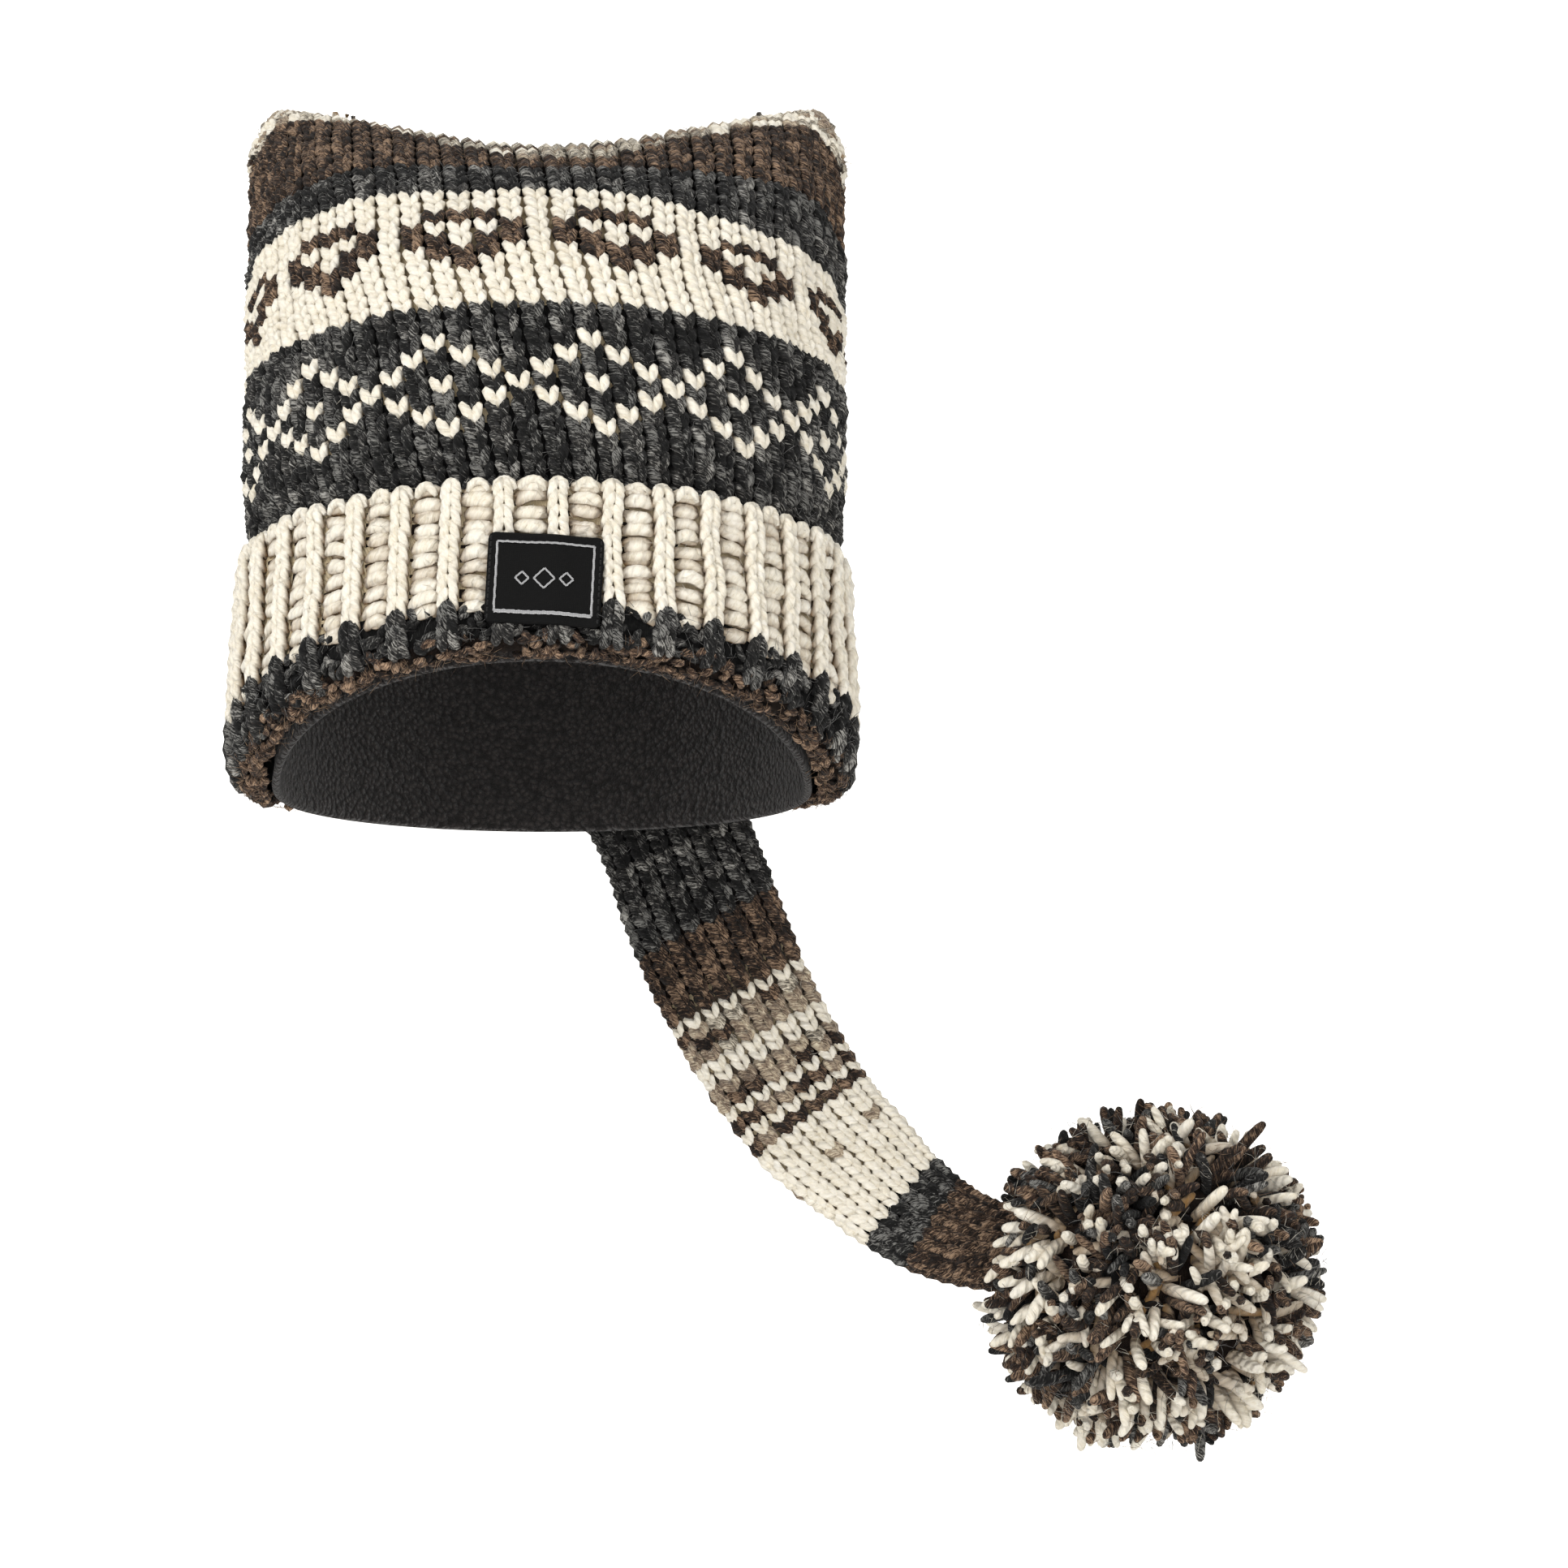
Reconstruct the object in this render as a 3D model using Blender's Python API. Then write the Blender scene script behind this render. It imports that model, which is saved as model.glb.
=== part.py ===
"""A hand-knitted stocking cap: a bag with two raised corners, a turned-up rib cuff, a fleece lining,
a woven patch, and a long flat tail down the back that ends in a yarn pompom.

Units are metres, +Z is up, the wearer faces -Y. The origin is the point under the lining's top
where the crown of a head bears.
"""

import random
from math import asin, cos, pi, radians, sin, sqrt

import bmesh
import bpy
from mathutils import Matrix, Vector

# Walls and fits
KNIT_WALL = 0.005
FLEECE_WALL = 0.0025
CUFF_WALL = 0.0055
TAIL_THICKNESS = 0.0105
LABEL_THICKNESS = 0.0009
FIT_GAP = 0.0003
LINING_EASE = 0.0015
TAIL_EASE = 0.0010

# The knitted bag
BODY_WIDTH = 0.199
BODY_DEPTH = 0.180
SHOULDER_DROP = 0.090
EAR_RISE = 0.013
EAR_SPREAD = 0.88
EAR_ROUND_SIDE = 0.015
EAR_ROUND_DOWN = 0.022
RIDGE_SETBACK = 0.020
DOME_FULLNESS = 1.8
EAR_FULLNESS = 1.5

# The turned-up cuff
CUFF_DROP = 0.150
RIM_DROP = 0.230
RIM_ARCH = 0.019
RIM_SOFTNESS = 0.15
CUFF_PINCH = 0.0048
RIB_COUNT = 36
RIB_RELIEF = 0.0009

# The lining
LINING_TUCK = 0.0025
LINING_BACK_DROP = 0.0091

# The tail and its pompom
TAIL_FALL = 0.360
TAIL_SWAY_LENGTH = 0.158
TAIL_WIDTH = 0.048
TAIL_TOP_WIDTH = 0.190
TAIL_HANG_FREE = 0.075
TAIL_CUFF_STEP = 0.025
TAIL_CUFF_STAND = 1.4
TAIL_WRAP = 0.85
TAIL_LEAN_FROM = 0.30
TAIL_TOP_EASE = 0.0015
TAIL_NARROWING = 1.1
POMPOM_LOCKS = (0.62, 1.05)
POMPOM_RADIUS = 0.061
POMPOM_CORE = 0.046
POMPOM_SEAT = 0.0002
POMPOM_LOCK_TAPER = 0.62
POMPOM_LOCK_LEAN = 0.0022
POMPOM_BARE = radians(30)
POMPOM_DROP = radians(12)

# The patch on the cuff's front
LABEL_WIDTH = 0.0375
LABEL_HEIGHT = 0.031
LABEL_OFFSET = 0.0026
LABEL_UP = 0.40
LABEL_TURN = radians(-2.5)

HALF_WIDTH = BODY_WIDTH / 2
HALF_DEPTH = BODY_DEPTH / 2
BACK_TOP = FLEECE_WALL + LINING_EASE + KNIT_WALL
RIDGE_TOP = BACK_TOP + TAIL_THICKNESS
SHOULDER = RIDGE_TOP - SHOULDER_DROP
CUFF_TOP = RIDGE_TOP - CUFF_DROP
RIM = RIDGE_TOP - RIM_DROP

# The bag's wall. above: share of the drop from the shoulder to the cuff's top. behind: share of the drop
# from there to the rim, behind the cuff. pinch: share of CUFF_PINCH.
WALL_ROWS = (
    # above, behind, pinch
    (0.00, 0.00, 0.0),
    (0.40, 0.00, 0.0),
    (0.77, 0.00, 0.1),
    (0.93, 0.00, 0.6),
    (1.00, 0.02, 1.0),
    (1.00, 0.48, 1.0),
)

# The cuff's section, outside downwards, round the rolled rim, then up inside.
# out: share of CUFF_WALL outside the cuff's inner face. up: share of the cuff's height above the rim.
# lift: further rise as a share of CUFF_WALL. rib: share of RIB_RELIEF.
CUFF_SECTION = (
    # out, up, lift, rib
    (0.45, 1.00, 0.00, 0.0),
    (0.92, 1.00, -0.25, 0.8),
    (1.08, 0.92, 0.00, 1.0),
    (1.12, 0.72, 0.00, 1.0),
    (1.30, 0.46, 0.00, 1.0),
    (1.40, 0.28, 0.00, 1.0),
    (1.28, 0.11, 0.40, 0.7),
    (0.98, 0.00, 0.75, 0.3),
    (0.42, 0.00, 0.14, 0.0),
    (-0.25, 0.00, 0.00, 0.0),
    (-0.96, 0.00, 0.45, 0.0),
    (-0.96, 0.00, 1.00, 0.0),
    (0.00, 0.00, 1.00, 0.0),
    (0.00, 0.98, 0.00, 0.0),
)

# The tail from the shoulder to its end. down: share of TAIL_FALL below the ridge.
# over: share of TAIL_SWAY_LENGTH towards +X. width: share of TAIL_WIDTH.
TAIL_ROWS = (
    # down, over, width
    (0.250, 0.010, 2.50),
    (0.335, 0.045, 2.04),
    (0.418, 0.105, 1.55),
    (0.502, 0.170, 1.17),
    (0.585, 0.240, 0.95),
    (0.670, 0.310, 1.00),
    (0.748, 0.395, 1.03),
    (0.820, 0.487, 1.00),
    (0.878, 0.576, 0.95),
    (0.917, 0.667, 0.88),
    (0.952, 0.751, 0.79),
    (0.980, 0.842, 0.70),
    (0.994, 0.925, 0.62),
    (1.000, 1.000, 0.58),
)


def clear_scene():
    for item in list(bpy.data.objects):
        bpy.data.objects.remove(item, do_unlink=True)


def wool(name, red, green, blue, roughness):
    material = bpy.data.materials.new(name)
    material.use_nodes = True
    shader = material.node_tree.nodes["Principled BSDF"]
    shader.inputs["Base Color"].default_value = (red, green, blue, 1.0)
    shader.inputs["Roughness"].default_value = roughness
    shader.inputs["Metallic"].default_value = 0.0
    return material


def add_object(name, points, faces, material):
    """Makes one object from points and faces, with its normals facing out."""
    mesh = bpy.data.meshes.new(name)
    mesh.from_pydata([tuple(point) for point in points], [], faces)
    work = bmesh.new()
    work.from_mesh(mesh)
    bmesh.ops.remove_doubles(work, verts=work.verts, dist=1e-6)
    bmesh.ops.dissolve_degenerate(work, edges=work.edges, dist=1e-6)
    bmesh.ops.recalc_face_normals(work, faces=work.faces)
    work.to_mesh(mesh)
    work.free()
    mesh.materials.append(material)
    mesh.shade_smooth()
    mesh.set_sharp_from_angle(angle=radians(40))
    item = bpy.data.objects.new(name, mesh)
    bpy.context.scene.collection.objects.link(item)


def strip(first, second, count, close=True):
    """Quads between two runs of points that start at first and second."""
    steps = count if close else count - 1
    return [
        (first + i, first + (i + 1) % count, second + (i + 1) % count, second + i)
        for i in range(steps)
    ]


def smooth_step(value):
    value = min(1.0, max(0.0, value))
    return value * value * (3 - 2 * value)


def ease_between(table, place):
    """A Catmull-Rom reading of a table's rows at a place from 0 to 1."""
    spans = len(table) - 1
    index = min(int(place * spans), spans - 1)
    t = place * spans - index
    rows = [table[min(max(index + step, 0), spans)] for step in (-1, 0, 1, 2)]
    return [
        0.5 * (2 * b + (c - a) * t + (2 * a - 5 * b + 4 * c - d) * t * t + (3 * b - a - 3 * c + d) * t**3)
        for a, b, c, d in zip(*rows)
    ]


def arc_share(x, half_width):
    """How far out an ellipse's edge still is at x, as a share of its half depth."""
    return sqrt(max(0.0, 1 - (x / half_width) ** 2))


def ridge_height(share):
    """Top of the bag, low in the middle and high at the two corners, at a share of the half width."""
    share = abs(share)
    saddle = sin(pi / 2 * min(1.0, share / EAR_SPREAD)) ** 2
    corner_start = 1 - EAR_ROUND_SIDE / HALF_WIDTH
    past = max(0.0, (share - corner_start) / (1 - corner_start))
    return RIDGE_TOP + EAR_RISE * saddle - EAR_ROUND_DOWN * (1 - sqrt(max(0.0, 1 - past * past)))


def back_ridge_height(share):
    """The bag's back stands lower by the thickness of the tail that folds over it."""
    return ridge_height(share) - TAIL_THICKNESS * (1 - abs(share) ** 8)


def ridge_place(share):
    return RIDGE_SETBACK * (1 - share * share)


def dome_point(x, side, turn, inset=0.0):
    """A point of the bag above the shoulder. side: -1 front, 1 back. turn: 0 there, 1 at the ridge."""
    half_width = HALF_WIDTH - inset
    share = min(1.0, abs(x) / half_width)
    power = 2 / (DOME_FULLNESS + (EAR_FULLNESS - DOME_FULLNESS) * share**2)
    back = back_ridge_height(share)
    top = ridge_height(share) if side < 0 and inset == 0 else back
    middle = ridge_place(share)
    foot = side * (HALF_DEPTH - inset) * arc_share(x, half_width)
    outward = cos(pi / 2 * turn) ** power if turn < 1 else 0.0
    upward = sin(pi / 2 * turn) ** power
    return Vector((x, middle + (foot - middle) * outward, SHOULDER + (top - inset - SHOULDER) * upward))


def rim_height(angle):
    """The rim hangs low at the sides and arches up at the front and back."""
    rise = sqrt(sin(angle) ** 2 + RIM_SOFTNESS**2) - RIM_SOFTNESS
    return RIM + RIM_ARCH * rise / (sqrt(1 + RIM_SOFTNESS**2) - RIM_SOFTNESS)


def wall_ring(inset, level, count):
    """One ring of the bag's wall. level: a row of WALL_ROWS, or None for the bottom edge."""
    above, behind, pinch = level or (1.0, 1.0, 1.0)
    inward = inset + CUFF_PINCH * pinch
    points = []
    for step in range(count):
        angle = 2 * pi * step / count
        height = SHOULDER + (CUFF_TOP - SHOULDER) * above + (RIM - CUFF_TOP) * behind
        if level is None:
            height = rim_height(angle) + CUFF_WALL + FIT_GAP
        points.append(Vector((
            (HALF_WIDTH - inward) * cos(angle), (HALF_DEPTH - inward) * sin(angle), height)))
    return points


def bag_shell(inset, dome_rows, count):
    """Rings of one face of the bag, from the bottom edge up to the shoulder and on over the dome."""
    rings = [wall_ring(inset, level, count) for level in [None, *reversed(WALL_ROWS)]]
    for row in range(1, dome_rows + 1):
        ring = []
        for step in range(count):
            angle = 2 * pi * step / count
            side = -1 if sin(angle) < 0 else 1
            ring.append(dome_point((HALF_WIDTH - inset) * cos(angle), side, row / dome_rows, inset))
        rings.append(ring)
    return rings


def close_ring(start, count):
    """Faces straight across a flat ring, from its one side to the other."""
    rungs = [
        (i, i + 1, (count - i - 1) % count, (count - i) % count) for i in range(count // 2)
    ]
    return [tuple(start + i for i in dict.fromkeys(rung)) for rung in rungs]


def ring_faces(ring_count, count, start=0):
    faces = []
    for row in range(ring_count - 1):
        faces += strip(start + row * count, start + (row + 1) * count, count)
    return faces


def make_crown(material):
    count = 72
    outside = bag_shell(0.0, 8, count)
    inside = bag_shell(KNIT_WALL, 6, count)
    points = [point for ring in outside + inside for point in ring]
    faces = ring_faces(len(outside), count)
    faces += ring_faces(len(inside), count, len(outside) * count)
    faces += close_ring((len(outside) - 1) * count, count)
    faces += close_ring((len(outside) + len(inside) - 1) * count, count)
    faces += strip(0, len(outside) * count, count)
    add_object("crown", points, faces, material)


def cuff_point(angle, row, rib_wave):
    out, up, lift, rib = row
    rim = rim_height(angle)
    height = rim + up * (CUFF_TOP - rim) + lift * CUFF_WALL
    outward = FIT_GAP - CUFF_PINCH + out * CUFF_WALL + rib * RIB_RELIEF * rib_wave
    return Vector(((HALF_WIDTH + outward) * cos(angle), (HALF_DEPTH + outward) * sin(angle), height))


def make_cuff(material):
    per_rib = 3
    count = RIB_COUNT * per_rib
    points = []
    for row in CUFF_SECTION:
        for step in range(count):
            wave = cos(2 * pi * (step % per_rib) / per_rib)
            points.append(cuff_point(2 * pi * step / count, row, wave))
    faces = ring_faces(len(CUFF_SECTION), count)
    faces += strip((len(CUFF_SECTION) - 1) * count, 0, count)
    add_object("cuff", points, faces, material)


def lining_bottom(angle):
    """The fleece ends just above the rolled rim in front, and shows below it at the back."""
    return rim_height(angle) + LINING_TUCK - LINING_BACK_DROP * max(0.0, sin(angle))


def lining_shell(inset, count):
    """Rings of one face of the lining, from its bottom edge to the ring below its top point."""
    half_width = HALF_WIDTH - CUFF_PINCH - KNIT_WALL - FIT_GAP - inset
    half_depth = HALF_DEPTH - CUFF_PINCH - KNIT_WALL - FIT_GAP - inset
    top = FLEECE_WALL - inset
    power = 2 / DOME_FULLNESS
    rings = []
    for down in (None, 0.66, 0.33):
        ring = []
        for step in range(count):
            angle = 2 * pi * step / count
            height = lining_bottom(angle) if down is None else SHOULDER + (RIM - SHOULDER) * down
            ring.append(Vector((half_width * cos(angle), half_depth * sin(angle), height)))
        rings.append(ring)
    dome_rows = 6
    for row in range(dome_rows):
        turn = pi / 2 * row / dome_rows
        outward = cos(turn) ** power
        upward = sin(turn) ** power
        rings.append([
            Vector((
                half_width * outward * cos(2 * pi * step / count),
                RIDGE_SETBACK * (1 - outward) + half_depth * outward * sin(2 * pi * step / count),
                SHOULDER + (top - SHOULDER) * upward,
            ))
            for step in range(count)
        ])
    return rings, Vector((0, RIDGE_SETBACK, top))


def make_lining(material):
    count = 42
    outside, outer_top = lining_shell(0.0, count)
    inside, inner_top = lining_shell(FLEECE_WALL, count)
    points = [point for ring in outside + inside for point in ring] + [outer_top, inner_top]
    inner_start = len(outside) * count
    faces = ring_faces(len(outside), count) + ring_faces(len(inside), count, inner_start)
    faces += strip(0, inner_start, count)
    for last, top in ((inner_start - count, len(points) - 2), (len(points) - 2 - count, len(points) - 1)):
        faces += [(last + i, last + (i + 1) % count, top) for i in range(count)]
    add_object("lining", points, faces, material)


def back_rest(x, z):
    """Where the tail lies against the bag's back and the cuff, then hangs free below the rim."""
    over_cuff = smooth_step((CUFF_TOP + TAIL_CUFF_STEP * 1.1 - z) / TAIL_CUFF_STEP)
    stand = over_cuff * (CUFF_WALL * TAIL_CUFF_STAND + RIB_RELIEF + FIT_GAP - CUFF_PINCH)
    half_width = HALF_WIDTH + stand
    x = max(-TAIL_WRAP * half_width, min(TAIL_WRAP * half_width, x))
    return (HALF_DEPTH + stand) * arc_share(x, half_width)


def tail_sections():
    """Points of the tail's inner side, section by section, each across from -X to +X."""
    across = 12
    shares = [-cos(pi * i / across) for i in range(across + 1)]
    shares = [abs(share) ** 0.8 * (1 if share > 0 else -1) for share in shares]
    dome_rows = 9
    hang_rows = 26
    free_rest = back_rest(TAIL_LEAN_FROM * TAIL_SWAY_LENGTH, RIM) + TAIL_THICKNESS / 2
    step = 0.01
    sections = []
    first_width = TAIL_ROWS[0][2] * TAIL_WIDTH
    for row in range(dome_rows):
        turn = row / dome_rows
        eased = turn**TAIL_NARROWING
        width = TAIL_TOP_WIDTH + (first_width - TAIL_TOP_WIDTH) * eased
        middle = TAIL_ROWS[0][1] * TAIL_SWAY_LENGTH * eased
        apart = Vector((0, TAIL_TOP_EASE * (1 - eased), 0))
        sections.append([dome_point(middle + width / 2 * s, 1, 1 - turn) + apart for s in shares])
    for row in range(hang_rows + 1):
        place = row / hang_rows
        down, over, width = ease_between(TAIL_ROWS, place)
        ahead = ease_between(TAIL_ROWS, min(1.0, place + step))
        behind = ease_between(TAIL_ROWS, max(0.0, place - step))
        run = Vector(((ahead[1] - behind[1]) * TAIL_SWAY_LENGTH, -(ahead[0] - behind[0]) * TAIL_FALL))
        run.normalize()
        lean = smooth_step(place / TAIL_LEAN_FROM)
        side = Vector((1, 0)).lerp(Vector((-run.y, run.x)), lean).normalized()
        free = smooth_step((RIM + RIM_ARCH - (RIDGE_TOP - down * TAIL_FALL)) / TAIL_HANG_FREE)
        section = []
        for share in shares:
            x = over * TAIL_SWAY_LENGTH + side.x * share * width * TAIL_WIDTH / 2
            z = RIDGE_TOP - down * TAIL_FALL + side.y * share * width * TAIL_WIDTH / 2
            y = back_rest(x, z) * (1 - free) + free_rest * free
            section.append(Vector((x, y, z)))
        sections.append(section)
    return sections, shares


def section_normals(sections):
    """The direction away from the head at each point of the tail's inner side."""
    normals = []
    for row, section in enumerate(sections):
        above = sections[max(row - 1, 0)]
        below = sections[min(row + 1, len(sections) - 1)]
        line = []
        for i in range(len(section)):
            across = section[min(i + 1, len(section) - 1)] - section[max(i - 1, 0)]
            line.append(across.cross(above[i] - below[i]).normalized() * -1)
        if row == 0:
            line = [Vector((0, max(n.y, 0.1), n.z)).normalized() for n in line]
        normals.append(line)
    return normals


def make_tail(material):
    """Makes the tail, and returns the middle of its lower end."""
    sections, shares = tail_sections()
    normals = section_normals(sections)
    around = 2 * len(shares) - 2
    points = []
    for section, line in zip(sections, normals):
        bulge = [(1 - abs(share) ** 4) ** 0.25 for share in shares]
        outer = []
        inner = []
        for point, normal, full in zip(section, line, bulge):
            start = point + normal * TAIL_EASE
            outer.append(start + normal * TAIL_THICKNESS * (0.5 + 0.5 * full))
            inner.append(start + normal * TAIL_THICKNESS * (0.5 - 0.5 * full))
        points += outer + inner[-2:0:-1]
    faces = ring_faces(len(sections), around)
    faces += close_ring(0, around) + close_ring(len(points) - around, around)
    add_object("tail", points, faces, material)
    return sum(points[-around:], Vector()) / around


def make_pompom(material, tail_end):
    """A ball of yarn locks. The face that the tail is tied to has none."""
    to_centre = Vector((cos(POMPOM_DROP), 0, -sin(POMPOM_DROP)))
    centre = tail_end + to_centre * (POMPOM_CORE - POMPOM_SEAT)
    draw = random.Random(11)
    mesh = bpy.data.meshes.new("pompom")
    work = bmesh.new()
    bmesh.ops.create_icosphere(work, subdivisions=3, radius=POMPOM_CORE)
    for face in list(work.faces):
        direction = face.calc_center_median().normalized()
        if direction.angle(-to_centre) < POMPOM_BARE:
            continue
        made = bmesh.ops.extrude_discrete_faces(work, faces=[face])["faces"][0]
        length = (POMPOM_RADIUS - POMPOM_CORE) * draw.uniform(*POMPOM_LOCKS)
        sideways = Vector((draw.uniform(-1, 1), draw.uniform(-1, 1), draw.uniform(-1, 1)))
        lean = (sideways - direction * sideways.dot(direction)) * POMPOM_LOCK_LEAN
        middle = made.calc_center_median()
        for corner in made.verts:
            corner.co = middle + (corner.co - middle) * POMPOM_LOCK_TAPER + direction * length + lean
    work.to_mesh(mesh)
    work.free()
    mesh.transform(Matrix.Translation(centre))
    mesh.materials.append(material)
    item = bpy.data.objects.new("pompom", mesh)
    bpy.context.scene.collection.objects.link(item)


def cuff_outside(x, z):
    """The front of the cuff over its rib crests."""
    angle = -pi / 2 + asin(max(-1.0, min(1.0, x / HALF_WIDTH)))
    rim = rim_height(angle)
    up = (z - rim) / (CUFF_TOP - rim)
    rows = CUFF_SECTION[1:7]
    out = rows[0][0]
    for above, below in zip(rows, rows[1:]):
        if below[1] <= up <= above[1]:
            out = below[0] + (above[0] - below[0]) * (up - below[1]) / (above[1] - below[1])
    outward = FIT_GAP - CUFF_PINCH + out * CUFF_WALL + RIB_RELIEF
    return -(HALF_DEPTH + outward) * arc_share(x, HALF_WIDTH + outward)


def make_label(material):
    columns = 10
    rows = 5
    middle = rim_height(-pi / 2) + LABEL_UP * (CUFF_TOP - rim_height(-pi / 2))
    layers = []
    for depth in (FIT_GAP * 1.5, FIT_GAP * 1.5 + LABEL_THICKNESS):
        for row in range(rows + 1):
            for column in range(columns + 1):
                across = (column / columns - 0.5) * LABEL_WIDTH
                upright = (row / rows - 0.5) * LABEL_HEIGHT
                x = LABEL_OFFSET + across * cos(LABEL_TURN) - upright * sin(LABEL_TURN)
                z = middle + across * sin(LABEL_TURN) + upright * cos(LABEL_TURN)
                layers.append(Vector((x, cuff_outside(x, z) - depth, z)))
    wide = columns + 1
    layer = wide * (rows + 1)
    faces = []
    for start in (0, layer):
        for row in range(rows):
            first = start + row * wide
            faces += strip(first, first + wide, wide, close=False)
    border = list(range(wide)) + [wide * row + columns for row in range(1, rows + 1)]
    border += [wide * rows + column for column in range(columns - 1, -1, -1)]
    border += [wide * row for row in range(rows - 1, 0, -1)]
    faces += [
        (border[i], border[(i + 1) % len(border)],
         border[(i + 1) % len(border)] + layer, border[i] + layer)
        for i in range(len(border))
    ]
    add_object("label", layers, faces, material)


clear_scene()
make_crown(wool("charcoal and ecru wool", 0.20, 0.19, 0.18, 0.9))
make_cuff(wool("ecru wool", 0.72, 0.67, 0.55, 0.9))
make_lining(wool("black fleece", 0.02, 0.019, 0.018, 0.95))
tail_end = make_tail(wool("brown wool", 0.12, 0.085, 0.06, 0.9))
make_pompom(wool("mixed yarn", 0.25, 0.20, 0.16, 0.95), tail_end)
make_label(wool("black satin", 0.02, 0.02, 0.02, 0.5))
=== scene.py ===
import math

import bpy
import numpy as np
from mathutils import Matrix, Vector


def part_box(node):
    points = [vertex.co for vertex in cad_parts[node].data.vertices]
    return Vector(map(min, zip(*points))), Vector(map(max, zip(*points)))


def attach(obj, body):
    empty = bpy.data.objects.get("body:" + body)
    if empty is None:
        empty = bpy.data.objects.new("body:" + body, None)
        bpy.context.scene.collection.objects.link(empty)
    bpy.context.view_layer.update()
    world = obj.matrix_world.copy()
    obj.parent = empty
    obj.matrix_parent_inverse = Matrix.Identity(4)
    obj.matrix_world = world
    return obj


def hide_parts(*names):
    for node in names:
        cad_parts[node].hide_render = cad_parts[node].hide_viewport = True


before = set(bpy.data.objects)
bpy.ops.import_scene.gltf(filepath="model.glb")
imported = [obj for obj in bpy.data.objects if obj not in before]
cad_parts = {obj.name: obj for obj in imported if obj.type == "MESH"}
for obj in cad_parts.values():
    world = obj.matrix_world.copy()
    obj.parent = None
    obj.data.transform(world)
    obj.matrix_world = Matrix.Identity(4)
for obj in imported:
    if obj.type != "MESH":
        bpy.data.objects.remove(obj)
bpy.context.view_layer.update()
bpy.ops.object.select_all(action="DESELECT")
draw = np.random.default_rng(5)
print("frame loaded")

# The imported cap's own sizes, in metres
crownLow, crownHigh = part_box("crown")
bag = {
    "halfWidth": crownHigh.x,
    "halfDepth": -crownLow.y,
    "ridgeTop": 0.0195,
    "shoulder": -0.0705,
    "cuffTop": -0.1305,
    "rim": -0.2105,
    "earRise": 0.013,
    "earSpread": 0.88,
    "earRoundSide": 0.015,
    "earRoundDown": 0.022,
    "ridgeSetback": 0.020,
    "domeFullness": 1.8,
    "earFullness": 1.5,
    "rimArch": 0.019,
    "rimSoftness": 0.15,
    "pinch": 0.0048,
    "knitWall": 0.005,
    "fitGap": 0.0003,
}
halfWidth = bag["halfWidth"]
halfDepth = bag["halfDepth"]


def unit(vectors):
    return vectors / np.maximum(np.linalg.norm(vectors, axis=-1, keepdims=True), 1e-12)


def smoothStep(value):
    value = np.clip(value, 0, 1)
    return value * value * (3 - 2 * value)


def easedRows(table, place):
    # a Catmull-Rom reading of a table's rows, at places from 0 to 1
    table = np.asarray(table, float)
    spans = len(table) - 1
    index = np.minimum((place * spans).astype(int), spans - 1)
    t = (place * spans - index)[:, None]
    a, b, c, d = (table[np.clip(index + step, 0, spans)] for step in (-1, 0, 1, 2))
    return 0.5 * (2 * b + (c - a) * t + (2 * a - 5 * b + 4 * c - d) * t**2 + (3 * b - a - 3 * c + d) * t**3)


def surfaceFrame(surface, across, up, step=0.06):
    here = surface(across, up)
    sideways = surface(across + step, up) - surface(across - step, up)
    upwards = surface(across, up + step) - surface(across, up - step)
    return here, unit(np.cross(sideways, upwards))


def newStore():
    return {"points": [], "tone": [], "creaseShade": [], "corners": [], "uv": [], "counts": [], "finish": [], "size": 0}


def addPart(store, points, tone, faces, uv, finish, creaseShade=None):
    # faces and uv are one array for each number of corners
    store["points"].append(points.reshape(-1, 3))
    store["tone"].append(tone.reshape(-1))
    store["creaseShade"].append(np.full(tone.size, 0.7) if creaseShade is None else creaseShade.reshape(-1))
    for corners, place, paint in zip(faces, uv, finish):
        store["corners"].append(corners.reshape(-1) + store["size"])
        store["uv"].append(place.reshape(-1, 2))
        store["counts"].append(np.full(len(corners), corners.shape[1]))
        store["finish"].append(paint)
    store["size"] += points.reshape(-1, 3).shape[0]


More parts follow.
